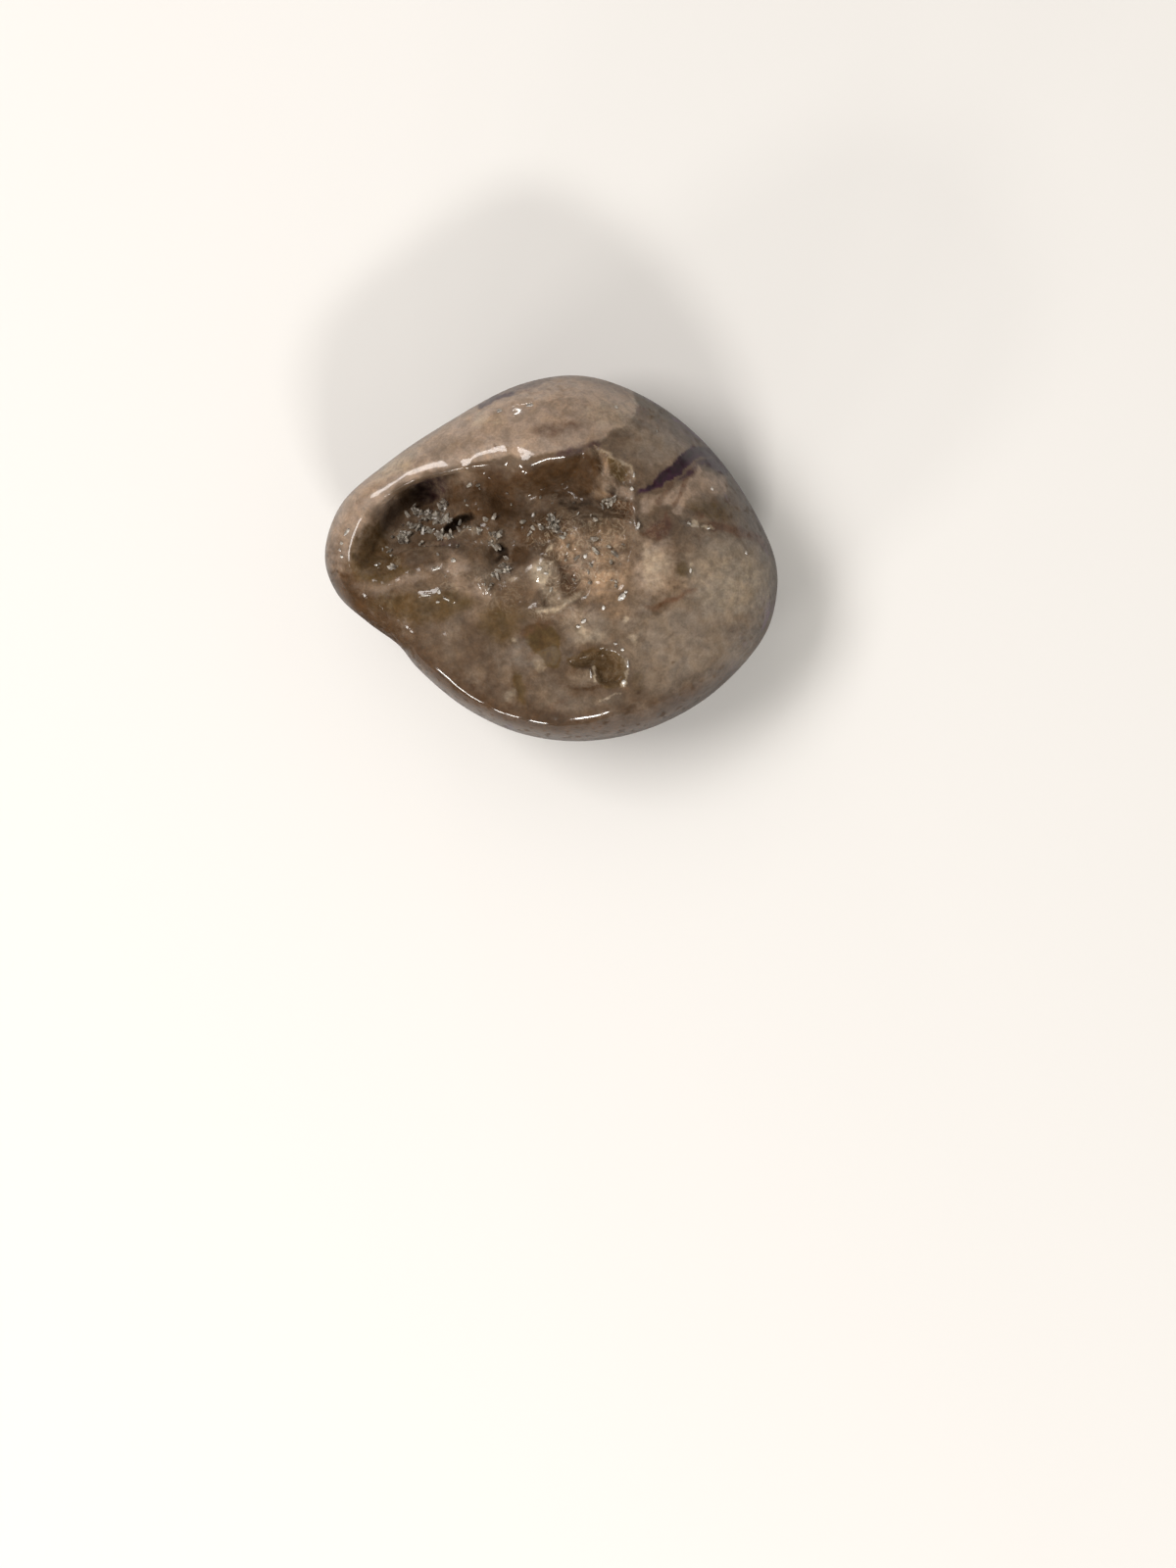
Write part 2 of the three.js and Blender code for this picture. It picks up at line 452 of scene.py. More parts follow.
@dataclass(frozen=True)
class Relief:
    """Fine relief of one size, or the wander of an edge, read from one layer of the noise."""

    size: float
    height: float
    layer: float
    octaves: int = 1
    falloff: float = 0.5

    def lumps(self, x: Array, y: Array) -> Array:
        """How far single smooth lumps stand up at each point."""
        return self.height * Lumps.smooth(x / self.size, y / self.size, self.layer)

    def rough(self, x: Array, y: Array) -> Array:
        """How far lumps with finer lumps over them stand up at each point."""
        return self.height * Lumps.rough(
            x / self.size, y / self.size, self.layer, self.octaves, self.falloff)

    def crystals(self, x: Array, y: Array) -> Array:
        """How far small pyramids stand up at each point."""
        return self.height * Lumps.crystals(x / self.size, y / self.size, self.layer)


@dataclass(frozen=True)
class Patch:
    """An oval patch of one tint, seen from above, with soft as the share of it that fades."""

    tint: Tint
    at: Spot
    half: Spot
    turn: float = 0.0
    strength: float = 1.0
    soft: float = 0.5

    def cover(self, x: Array, y: Array) -> Array:
        """How much of the tint lies at each point, from 0 to 1."""
        distance = oval_distance(self.at, self.half, self.turn, x, y)
        return self.strength * ease(1.0 + self.soft / 2, 1.0 - self.soft / 2, distance)


@dataclass(frozen=True)
class Streak:
    """A streak of one tint along a line, with soft as the share of its half width that fades."""

    tint: Tint
    line: Line
    half: float
    strength: float = 1.0
    soft: float = 0.6

    def section(self, x: Array, y: Array) -> Array:
        """The streak's share of its full strength at points near it."""
        outer, inner = self.half * (1.0 + self.soft / 2), self.half * (1.0 - self.soft / 2)
        return ease(outer, inner, line_distance(self.line, x, y))

    def cover(self, x: Array, y: Array) -> Array:
        """How much of the tint lies at each point, from 0 to 1."""
        reach = self.half * (1.0 + self.soft / 2)
        return self.strength * near_only(self.line, reach, x, y, self.section)


@dataclass(frozen=True)
class Field:
    """A patch of one tint with a free outline, seen from above, and a soft border inside it."""

    tint: Tint
    outline: Line
    strength: float = 1.0
    border: float = 0.5
    steps_per_corner: int = 6

    def cover(self, x: Array, y: Array) -> Array:
        """How much of the tint lies at each point, from 0 to 1."""
        edge = closed_curve(self.outline, self.steps_per_corner * len(self.outline))
        return self.strength * rise_inside(edge, self.border, x, y)


Mark = Patch | Streak | Field


@dataclass(frozen=True)
class Speckle:
    """A pattern of a finish: noise, eased from one range to another.

    size is the width of a lump in millimetres, detail how many finer sizes are laid over it, and
    distortion how far it is swirled. The noise goes from 0 to 1, and from low to high the pattern
    goes from bottom to top.
    """

    size: float
    detail: float = 2.0
    distortion: float = 0.0
    low: float = 0.0
    high: float = 1.0
    bottom: float = 0.0
    top: float = 1.0


@dataclass
class NodeDesk:
    """A material's node tree, with short calls for the nodes that the finishes use.

    MIX_SOCKETS says which sockets of a mix node take the share and its two colours, and which one
    gives the result, because their names are shared with other kinds of value.
    """

    MIX_SOCKETS: ClassVar[tuple[int, ...]] = (0, 6, 7, 2)
    material: bpy.types.Material
    tree: bpy.types.NodeTree = field(init=False)
    place: Socket = field(init=False)

    def __post_init__(self) -> None:
        """Clears the tree and adds the coordinates that every pattern reads."""
        self.material.use_nodes = True
        self.tree = self.material.node_tree
        self.tree.nodes.clear()
        self.place = self.tree.nodes.new("ShaderNodeTexCoord").outputs["Object"]

    def feed(self, socket: Socket, value: object) -> None:
        """Links a socket, or sets it where the value is a number or a colour.

        Args:
            socket: the input to feed.
            value: an output socket, a number or a colour.
        """
        if isinstance(value, bpy.types.NodeSocket):
            self.tree.links.new(value, socket)
        elif socket.type == "RGBA":
            socket.default_value = (*value, 1.0)
        else:
            socket.default_value = value

    def math(self, how: str, first: object, second: object, clamp: bool = False) -> Socket:
        """One step of arithmetic.

        Args:
            how: the operation's name, such as MULTIPLY.
            first: a socket or number.
            second: a socket or number.
            clamp: whether the result is kept between 0 and 1.

        Returns:
            The result's socket.
        """
        node = self.tree.nodes.new("ShaderNodeMath")
        node.operation = how
        node.use_clamp = clamp
        self.feed(node.inputs[0], first)
        self.feed(node.inputs[1], second)
        return node.outputs[0]

    def product(self, *parts: object) -> Socket:
        """Multiplies all the parts together.

        Args:
            parts: sockets or numbers.

        Returns:
            The result's socket.
        """
        result = parts[0]
        for part in parts[1:]:
            result = self.math("MULTIPLY", result, part)
        return result

    def mask(self, name: str) -> Socket:
        """Reads a mask of the mesh.

        Args:
            name: the mask's name.

        Returns:
            The mask's socket.
        """
        node = self.tree.nodes.new("ShaderNodeAttribute")
        node.attribute_name = name
        return node.outputs["Fac"]

    def spread(self, stretch: Point, turn: float) -> Socket:
        """The coordinates, made finer along each axis and turned about the vertical.

        Args:
            stretch: how much finer they are along each axis.
            turn: how far they are turned, in degrees.

        Returns:
            The coordinates' socket.
        """
        node = self.tree.nodes.new("ShaderNodeMapping")
        node.inputs["Scale"].default_value = stretch
        node.inputs["Rotation"].default_value = (0.0, 0.0, math.radians(turn))
        self.tree.links.new(self.place, node.inputs["Vector"])
        return node.outputs["Vector"]

    def noise(self, speckle: Speckle, place: Socket | None = None) -> Socket:
        """The noise of a pattern, from 0 to 1, before it is eased.

        Args:
            speckle: the pattern.
            place: the coordinates to read it at, where they aren't the plain ones.

        Returns:
            The noise's socket.
        """
        node = self.tree.nodes.new("ShaderNodeTexNoise")
        self.tree.links.new(place or self.place, node.inputs["Vector"])
        node.inputs["Scale"].default_value = 1.0 / (speckle.size * MM)
        node.inputs["Detail"].default_value = speckle.detail
        node.inputs["Distortion"].default_value = speckle.distortion
        return node.outputs[0]

    def pattern(self, speckle: Speckle, place: Socket | None = None) -> Socket:
        """A whole pattern, eased to its own range.

        Args:
            speckle: the pattern.
            place: the coordinates to read it at, where they aren't the plain ones.

        Returns:
            The pattern's socket.
        """
        limits = speckle.low, speckle.high, speckle.bottom, speckle.top
        return self.ramp(self.noise(speckle, place), *limits)

    def facets(self, size: float) -> Socket:
        """Small pyramids with flat faces.

        Args:
            size: how far apart they stand, in millimetres.

        Returns:
            The socket of a height from 0 to about 1.
        """
        node = self.tree.nodes.new("ShaderNodeTexVoronoi")
        node.distance = "CHEBYCHEV"
        node.inputs["Scale"].default_value = 1.0 / (size * MM)
        self.tree.links.new(self.place, node.inputs["Vector"])
        return node.outputs["Distance"]

    def ramp(self, value: object, low: float, high: float, bottom: float = 0.0,
             top: float = 1.0) -> Socket:
        """Eases a value from one range to another.

        Args:
            value: the socket to map.
            low: where the rise begins.
            high: where it ends.
            bottom: the result at low.
            top: the result at high.

        Returns:
            The mapped socket.
        """
        node = self.tree.nodes.new("ShaderNodeMapRange")
        node.interpolation_type = "SMOOTHSTEP"
        for number, part in enumerate((value, low, high, bottom, top)):
            self.feed(node.inputs[number], part)
        return node.outputs[0]

    def mix(self, under: object, over: object, share: object, how: str = "MIX") -> Socket:
        """Lays one colour over another.

        Args:
            under: the colour below, as a socket or three numbers.
            over: the colour above.
            share: how much of the upper colour shows.
            how: the way they are mixed.

        Returns:
            The mixed colour's socket.
        """
        node = self.tree.nodes.new("ShaderNodeMix")
        node.data_type = "RGBA"
        node.blend_type = how
        share_at, under_at, over_at, result_at = self.MIX_SOCKETS
        self.feed(node.inputs[share_at], share)
        self.feed(node.inputs[under_at], under)
        self.feed(node.inputs[over_at], over)
        return node.outputs[result_at]

    def dim(self, colour: object, by: object) -> Socket:
        """Makes a colour brighter or darker.

        Args:
            colour: the colour's socket.
            by: the factor, as a socket or number.

        Returns:
            The new colour's socket.
        """
        node = self.tree.nodes.new("ShaderNodeVectorMath")
        node.operation = "SCALE"
        self.feed(node.inputs[0], colour)
        self.feed(node.inputs["Scale"], by)
        return node.outputs[0]

    def bump(self, height: object, distance: float) -> Socket:
        """Fine relief from a height.

        Args:
            height: the height's socket, from 0 to 1.
            distance: how far 1 stands above 0, in millimetres.

        Returns:
            The normal's socket.
        """
        node = self.tree.nodes.new("ShaderNodeBump")
        node.inputs["Distance"].default_value = distance * MM
        self.feed(node.inputs["Height"], height)
        return node.outputs[0]

    def shader(self) -> bpy.types.Node:
        """Adds the surface shader and joins it to the material's output.

        Returns:
            The shader's node.
        """
        node = self.tree.nodes.new("ShaderNodeBsdfPrincipled")
        output = self.tree.nodes.new("ShaderNodeOutputMaterial")
        self.tree.links.new(node.outputs[0], output.inputs["Surface"])
        return node


@dataclass(frozen=True)
class Glow:
    """Light that goes a little way into the stone and comes out again."""

    share: float
    radius: Point
    reach: float

    def give(self, shader: bpy.types.Node) -> None:
        """Sets the glow on a surface shader's own sockets.

        Args:
            shader: the surface shader.
        """
        shader.inputs["Subsurface Weight"].default_value = self.share
        shader.inputs["Subsurface Radius"].default_value = self.radius
        shader.inputs["Subsurface Scale"].default_value = self.reach * MM


@dataclass(frozen=True)
class RockFinish:
    """Tumbled charoite: glossy and a little translucent, and rough where the hollow is broken.

    Over the ground lie clouds, purple bands and fibres on the hidden sides, the tints of the
    masks with ragged edges, and pale threads and dark crumbs where the rock is broken. The sides
    are then darkened by side_shade, a painted shade. silky and dull are the roughness of the
    smooth and of the worn rock. The polish is a coat over it, gone where the rock is worn by more
    than dull_from.
    """

    ground: Colour = (0.100, 0.067, 0.043)
    tints: dict[Tint, Colour] = field(
        default_factory=lambda: {
            Tint.LOBE: (0.278, 0.205, 0.152),
            Tint.GREY: (0.190, 0.148, 0.110),
            Tint.TAN: (0.258, 0.170, 0.104),
            Tint.OLIVE: (0.078, 0.048, 0.017),
            Tint.RUSSET: (0.100, 0.050, 0.028),
            # umber is also laid on as painted shade, in the hollow and along the near rim
            Tint.UMBER_AND_SHADE: (0.050, 0.025, 0.010),
            Tint.VIOLET: (0.030, 0.008, 0.020),
            Tint.CREAM: (0.370, 0.300, 0.215),
            # dark is also laid on as painted shade, in the slot and the recess under the lobe
            Tint.DARK: (0.008, 0.004, 0.002),
        }
    )
    cloud: Colour = (0.158, 0.118, 0.085)
    warm: Colour = (1.03, 0.99, 0.93)
    cool: Colour = (0.98, 0.99, 1.01)
    frost: Colour = (0.400, 0.330, 0.240)
    soil: Colour = (0.050, 0.026, 0.012)
    lilac: Colour = (0.135, 0.070, 0.150)
    deep_purple: Colour = (0.045, 0.018, 0.060)
    # how dark the painted shade on the sides is
    side_shade: float = 0.52
    raggedness: float = 6.0
    flank_polish: float = 0.2
    dull: float = 0.6
    silky: float = 0.45
    rag: Speckle = Speckle(0.5, 6.0)
    clouds: Speckle = Speckle(3.2, 5.0, 0.8, 0.42, 0.7, 0.0, 0.75)
    hues: Speckle = Speckle(1.7, 4.0, 0.5, 0.35, 0.65)
    grain: Speckle = Speckle(0.17, 3.0, 0.0, 0.25, 0.75, 0.88, 1.12)
    mottle: Speckle = Speckle(0.9, 6.0, 0.6, 0.3, 0.7, 0.8, 1.2)
    scuffs: Speckle = Speckle(0.55, 4.0, 0.4, 0.36, 0.44, 0.35, 1.0)
    wet_spots: Speckle = Speckle(0.45, 4.0, 0.0, 0.52, 0.64, 0.0, 0.6)
    threads: Speckle = Speckle(0.9, 4.0, 1.2)
    thread_half: float = 0.05
    thread_strength: float = 0.32
    crumbs: Speckle = Speckle(0.4, 4.0, 0.0, 0.55, 0.7, 0.0, 0.4)
    bands: Speckle = Speckle(6.0, 5.0, 2.2, 0.50, 0.66)
    band_strength: float = 0.75
    fibres: Speckle = Speckle(1.5, 4.0, 3.0, 0.52, 0.66)
    fibre_stretch: Point = (0.35, 1.6, 1.0)
    fibre_turn: float = 28.0
    fibre_strength: float = 0.8
    dull_from: float = 0.6
    grit: Speckle = Speckle(0.16, 4.0)
    smooth_grit: float = 0.015
    chip_size: float = 0.3
    relief: float = 0.04
    under_ior: float = 1.12
    polish_roughness: float = 0.08
    polish_ior: float = 1.46
    glow: Glow = Glow(0.2, (1.0, 0.62, 0.4), 0.45)

    def material(self) -> bpy.types.Material:
        """Makes the finish, for a mesh that carries the masks.

        Returns:
            The material.
        """
        desk = NodeDesk(bpy.data.materials.new("charoite"))
        shader = desk.shader()
        worn = desk.math("MAXIMUM", desk.mask("rough"), desk.mask(Tint.WORN.value))
        crumbly, hidden = desk.mask("crumbly"), desk.mask("hidden")
        desk.feed(shader.inputs["Base Color"], self.colour(desk, crumbly, hidden))
        roughness = desk.ramp(worn, 0.0, 1.0, self.silky, self.dull)
        desk.feed(shader.inputs["Roughness"], roughness)
        desk.feed(shader.inputs["Coat Weight"], self.polish(desk, worn, hidden))
        grit = desk.product(desk.noise(self.grit), desk.math("ADD", worn, self.smooth_grit))
        chips = desk.product(desk.facets(self.chip_size), crumbly)
        normal = desk.bump(desk.math("ADD", grit, chips), self.relief)
        desk.feed(shader.inputs["Normal"], normal)
        shader.inputs["IOR"].default_value = self.under_ior
        shader.inputs["Coat Roughness"].default_value = self.polish_roughness
        shader.inputs["Coat IOR"].default_value = self.polish_ior
        self.glow.give(shader)
        return desk.material

    def colour(self, desk: NodeDesk, crumbly: Socket, hidden: Socket) -> Socket:
        """The colour of the rock, with its tints, its grain and a painted shade on its sides.

        Args:
            desk: the material's nodes.
            crumbly: how broken the rock is.
            hidden: how far round the side a point lies.

        Returns:
            The colour's socket.
        """
        cloudy = desk.mix(self.ground, self.cloud, desk.pattern(self.clouds))
        colour = self.hidden_swirls(desk, cloudy, hidden)
        ragged = desk.math("SUBTRACT", desk.noise(self.rag), MEAN_NOISE)
        for tint, paint in self.tints.items():
            share = self.ragged_edge(desk, desk.mask(tint.value), ragged)
            colour = desk.mix(colour, paint, share)
        colour = self.broken_grain(desk, colour, crumbly)
        hue = desk.mix(self.cool, self.warm, desk.pattern(self.hues))
        colour = desk.mix(colour, hue, 1.0, "MULTIPLY")
        # painted shade: the colour darkens round the sides
        side = desk.ramp(hidden, 0.0, 1.0, 1.0, self.side_shade)
        shade = desk.product(desk.pattern(self.grain), desk.pattern(self.mottle), side)
        return desk.dim(colour, shade)

    def polish(self, desk: NodeDesk, worn: Socket, hidden: Socket) -> Socket:
        """How strong the polish is: scuffed, weak on the sides, and in spots on rough rock.

        Args:
            desk: the material's nodes.
            worn: how dull the rock is.
            hidden: how far round the side a point lies.

        Returns:
            The strength's socket, from 0 to 1.
        """
        flank = desk.ramp(hidden, 0.0, 1.0, 1.0, self.flank_polish)
        bright = desk.ramp(worn, 0.0, self.dull_from, 1.0, 0.0)
        polish = desk.product(bright, desk.pattern(self.scuffs), flank)
        wet = desk.product(worn, desk.pattern(self.wet_spots))
        return desk.math("ADD", polish, wet, True)

    def ragged_edge(self, desk: NodeDesk, mask: Socket, ragged: Socket) -> Socket:
        """Breaks up the thin parts of a mask, and leaves its bare and full parts as they are.

        Args:
            desk: the material's nodes.
            mask: the mask's socket.
            ragged: noise around 0.

        Returns:
            The broken mask's socket.
        """
        partly = desk.product(mask, desk.math("SUBTRACT", 1.0, mask), self.raggedness)
        return desk.math("ADD", mask, desk.product(partly, ragged), True)

    def broken_grain(self, desk: NodeDesk, colour: Socket, broken: Socket) -> Socket:
        """Pale threads and dark crumbs where the rock is broken.

        Args:
            desk: the material's nodes.
            colour: the colour so far.
            broken: how broken the rock is.

        Returns:
            The colour with the grain over it.
        """
        around = desk.math("SUBTRACT", desk.noise(self.threads), MEAN_NOISE)
        away = desk.math("ABSOLUTE", around, 0.0)
        threads = desk.ramp(away, self.thread_half, 0.0, 0.0, self.thread_strength)
        colour = desk.mix(colour, self.frost, desk.product(threads, broken))
        return desk.mix(colour, self.soil, desk.product(desk.pattern(self.crumbs), broken))

    def hidden_swirls(self, desk: NodeDesk, colour: Socket, hidden: Socket) -> Socket:
        """Purple fibrous swirls on the sides and the underside.

        Args:
            desk: the material's nodes.
            colour: the colour so far.
            hidden: how far round the side a point lies.

        Returns:
            The colour with the swirls over it.
        """
        bands = desk.pattern(self.bands)
        fibres = desk.pattern(self.fibres, desk.spread(self.fibre_stretch, self.fibre_turn))
        pale = desk.product(bands, self.band_strength, hidden)
        colour = desk.mix(colour, self.lilac, pale)
        deep = desk.product(bands, fibres, self.fibre_strength, hidden)
        return desk.mix(colour, self.deep_purple, deep)


@dataclass(frozen=True)
class CrystalFinish:
    """Druse: clear to milky crystal points with a dusty grey look."""

    clear: Colour = (0.125, 0.102, 0.080)
    milky: Colour = (0.310, 0.280, 0.235)
    milk: Speckle = Speckle(0.4, 3.0, 0.0, 0.4, 0.62)
    dust: Speckle = Speckle(0.2, 3.0, 0.0, 0.3, 0.7, 0.15, 0.45)
    ior: float = 1.5
    glow: Glow = Glow(0.3, (1.0, 0.9, 0.8), 0.15)

    def material(self) -> bpy.types.Material:
        """Makes the finish.

        Returns:
            The material.
        """
        desk = NodeDesk(bpy.data.materials.new("druse"))
        shader = desk.shader()
        colour = desk.mix(self.clear, self.milky, desk.pattern(self.milk))
        desk.feed(shader.inputs["Base Color"], colour)
        desk.feed(shader.inputs["Roughness"], desk.pattern(self.dust))
        shader.inputs["IOR"].default_value = self.ior
        self.glow.give(shader)
        return desk.material


@dataclass
class Pebble:
    """The skin of the rock: its form, its relief and the masks of its tints.

    The girdle is the outline seen from above. Over it rises a dome, lower at the narrow end and on
    the near side, and under it lies a rounder base with a small flat. The face goes down by the
    hollow, the ledge, the steps and the bowls, and up by the welts. A pair of numbers that ease
    takes gives where a change starts and where it ends.
    """

    top_height: float = 15.8
    narrow_end_drop: float = 2.2
    narrow_end_run: Spot = (3, -17)
    near_side_drop: float = 0.8
    near_side_run: Spot = (4, -14)
    girdle_height: float = 6.9
    girdle_lean: float = 1.3
    highest_girdle: float = math.radians(215)
    flat_cut: float = 0.35
    underside_squareness: float = 2.1
    shoulder_squareness: float = 3.1
    shoulder_change: float = 0.7
    softest_shoulder: float = math.radians(40)
    splits: int = 98
    crowding: float = 0.4
    girdle_steps: int = 720
    edge_steps: int = 150
    girdle: Line = (
        (17.4, 0.0), (14.8, 5.4), (11.4, 9.6), (7.3, 12.6), (2.5, 14.2), (-2.4, 13.5),
        (-8.5, 10.2), (-12.7, 7.3), (-16.3, 4.0), (-17.5, 0.0), (-16.5, -2.9), (-14.1, -5.1),
        (-11.8, -6.8), (-10.3, -8.6), (-6.7, -11.6), (-2.4, -13.6), (2.5, -14.2), (7.6, -13.2),
        (12.5, -10.5), (16.5, -6.1), (17.5, -3.0),
    )
    hollow_mouth: Line = (
        (-15.9, 0.3), (-15.0, 2.3), (-13.3, 4.0), (-11.1, 5.4), (-8.4, 6.4), (-5.0, 6.9),
        (-2.3, 7.1), (-0.3, 7.5), (1.4, 8.0), (2.7, 8.3), (3.5, 7.4), (3.9, 6.4), (4.2, 5.5),
        (4.7, 4.8), (5.6, 4.2), (6.5, 3.7), (6.4, 2.4), (3.3, 1.7), (0.9, 0.8), (-1.4, -1.4),
        (-4.3, -3.0), (-6.6, -1.7), (-9.9, -1.7), (-12.9, -2.3), (-15.0, -1.7))
    hollow_depth: float = 1.8
    far_walls: Line = (
        (-16.0, 3.2), (-13.6, 2.6), (-12.2, 1.3), (-7.0, 1.2), (-5.0, 2.6), (1.0, 3.0), (4.0, 1.6))
    near_wall: float = 3.4
    wall_change: Spot = (3.5, -1.5)
    middle_line_slope: float = 0.15
    overhang: float = 0.8
    overhang_end: Spot = (-6.0, -8.5)
    overhang_start: Spot = (-14.0, -12.0)
    overhang_top: Spot = (0.15, 0.75)
    overhang_foot: Spot = (1.0, 0.8)
    face_from: Spot = (-0.05, 0.2)
    hidden_from: Spot = (0.75, 0.15)
    hollow_bowls: tuple[Bowl, ...] = (
        Bowl((-10.5, 3.0), (5.0, 3.7), 18, 2.2, 0.9),
        Bowl((-10.0, 4.6), (2.6, 1.3), 15, 0.9, 0.9),
        Bowl((-7.2, 2.35), (1.7, 0.75), 30, 1.6, 0.7),
        Bowl((-0.2, 4.8), (5.6, 3.2), 11, 1.2, 0.95),
        Bowl((-4.0, -0.2), (1.5, 1.3), 60, 0.7, 0.9),
    )
    ledge: Step = Step((
        (-1.9, 2.6), (1.4, 3.2), (5.6, 3.1), (6.5, 1.5), (6.0, -0.7), (5.9, -2.3), (5.1, -3.4),
        (3.4, -3.3), (2.3, -4.1), (0.8, -3.6), (-0.6, -4.2), (-1.3, -2.7), (-1.1, -0.8),
        (-2.2, 0.6)), 0.6, 1.0)
    steps: tuple[Step, ...] = (
        Step((
            (3.0, 8.4), (4.3, 7.75), (5.3, 7.2), (6.0, 6.8), (6.35, 6.2), (6.35, 5.3), (6.2, 4.7),
            (6.4, 4.0), (5.2, 3.9), (4.0, 4.6), (3.6, 5.6), (3.5, 6.5), (3.0, 7.5)), 0.45, 0.8),
        Step((
            (1.0, -8.2), (1.7, -7.9), (2.7, -7.65), (3.8, -7.2), (4.6, -7.3), (5.4, -7.7),
            (5.7, -8.4), (5.5, -9.7), (4.6, -10.3), (3.6, -10.1), (3.15, -9.1), (2.2, -8.8),
            (1.3, -8.55)), 0.55, 0.7),
    )
    face_bowls: tuple[Bowl, ...] = (
        Bowl((-1.5, -4.6), (13.0, 8.6), -8, 1.2, 1.0),
        Bowl((-0.5, -7.0), (1.2, 1.8), 12, 0.08, 1.0),
        Bowl((-2.3, -10.4), (0.7, 1.5), 20, 0.12, 0.9),
        Bowl((11.0, 2.5), (1.4, 0.6), -6, 0.3, 0.8),
        Bowl((-0.1, -2.0), (1.3, 2.3), 15, -0.35, 0.5),
        Bowl((4.4, -1.5), (1.7, 1.9), 20, -0.3, 0.9),
    )
    welts: tuple[Welt, ...] = (
        Welt((
            (-13.0, 4.6), (-10.8, 6.2), (-9.5, 6.7), (-8.1, 6.9), (-6.6, 7.2), (-5.5, 7.5),
            (-4.4, 7.6), (-3.0, 7.8), (-1.5, 8.2)), 0.12, 1.2),
        Welt(((-4.6, 11.0), (-2.4, 11.4), (-0.4, 11.6)), 0.14, 0.5),
        Welt(((-12.6, 3.6), (-10.4, 4.9), (-7.9, 5.7), (-5.4, 6.0), (-3.6, 6.2)), -0.95, 1.4),
        Welt(((-6.4, 5.8), (-5.6, 4.0), (-4.4, 2.2)), 0.6, 1.3),
        Welt(((-10.6, -7.8), (-7.4, -10.2), (-4.0, -12.3), (0.5, -13.2), (4.8, -12.4)), 0.3, 0.9),
        Welt(((4.5, 6.9), (4.3, 5.9), (4.6, 5.2)), 0.35, 0.5),
        Welt(((-0.3, -4.5), (0.9, -4.0), (2.2, -3.4)), 0.12, 0.4),
    )
    fine_welts: tuple[Welt, ...] = (
        Welt(((-9.7, -0.8), (-9.0, 0.1), (-8.2, -0.7)), 0.2, 0.25),
        Welt(((-9.8, -3.2), (-8.9, -3.1), (-8.4, -2.9), (-7.9, -3.3), (-7.4, -3.6)), 0.14, 0.22),
        Welt(((-8.8, 1.5), (-7.6, 1.3), (-6.8, 1.8), (-6.0, 2.3), (-5.0, 1.8)), 0.25, 0.35),
        Welt(((-4.4, 1.5), (-4.3, 0.8)), 0.35, 0.4),
        Welt(((-5.3, -2.0), (-4.4, -1.5), (-3.4, -1.1), (-3.0, -0.6)), 0.25, 0.25),
        Welt(((-5.0, -2.3), (-4.8, -2.8)), 0.3, 0.35),
        Welt(((-0.9, -4.3), (0.0, -4.4), (1.0, -3.9), (2.0, -4.0)), 0.18, 0.3),
        Welt(((6.35, 2.6), (6.65, 1.5)), 0.2, 0.2),
        Welt(((3.4, 8.1), (4.3, 7.8), (5.4, 7.3)), 0.06, 0.2),
        Welt(((6.4, 6.3), (6.45, 5.4)), 0.08, 0.2),
        Welt(((5.6, -8.0), (5.8, -8.9), (5.6, -9.9)), 0.08, 0.2),
    )
    wander: tuple[Relief, Relief] = (Relief(2.6, 0.4, 11.5), Relief(2.6, 0.4, 23.5))
    lumps: Relief = Relief(1.9, 0.42, 0)
    swell_size: float = 7.5
    swell_height: float = 0.2
    swell_layers: Spot = (7.0, 8.5)
    crumbs: Relief = Relief(0.75, 0.16, 3.5, 3)
    calm_crumb: float = 0.35
    facets: Relief = Relief(1.0, 0.26, 15.0)
    ripple: Relief = Relief(0.9, 0.012, 9.5, 2)
    tint_wander: tuple[Relief, Relief] = (
        Relief(1.6, 0.5, 31.5, 4, 0.6), Relief(1.6, 0.5, 43.5, 4, 0.6))
    finish: RockFinish = field(default_factory=RockFinish)
    girdle_curve: tuple[Array, Array] = field(init=False)
    hollow_edge: Array = field(init=False)
    shift: Array = field(init=False)

    def __post_init__(self) -> None:
        """Works out the smooth edges that the shape is measured from."""
        curve = closed_curve(self.girdle, self.girdle_steps)[:-1]
        bearings = np.arctan2(curve[:, 1], curve[:, 0])
        order = np.argsort(bearings)
        self.girdle_curve = bearings[order], np.hypot(curve[:, 0], curve[:, 1])[order]
        self.hollow_edge = closed_curve(self.hollow_mouth, self.edge_steps)
        self.shift = np.zeros(3)

    def girdle_radius(self, bearing: Array) -> Array:
        """How far out the girdle lies at each bearing."""
        return np.interp(bearing, *self.girdle_curve, period=2 * math.pi)

    def shoulder(self, bearing: Array) -> Array:
        """How square the upper section is at each bearing."""
        softer = self.shoulder_change * np.cos(bearing - self.softest_shoulder)
        return self.shoulder_squareness - softer

    def girdle_level(self, bearing: Array) -> Array:
        """Height of the girdle at each bearing."""
        return self.girdle_height + self.girdle_lean * np.cos(bearing - self.highest_girdle)

    def dome_height(self, x: Array, y: Array) -> Array:
        """Height of the plain dome at points seen from above."""
        end_drop = self.narrow_end_drop * ease(*self.narrow_end_run, x)
        return self.top_height - (end_drop + self.near_side_drop * ease(*self.near_side_run, y))

    def swell(self, x: Array, y: Array, rise: Array) -> Array:
        """Broad low swells of the whole surface.

        Args:
            x: first coordinate of the points.
            y: second coordinate.
            rise: how high each point lies, from -1 at the underside to 1 at the crown.

        Returns:
            How far the surface swells at each point.
        """
        layer = blend(*self.swell_layers, rise)
        swell = Lumps.smooth(x / self.swell_size, y / self.swell_size, layer)
        return self.swell_height * rise * swell

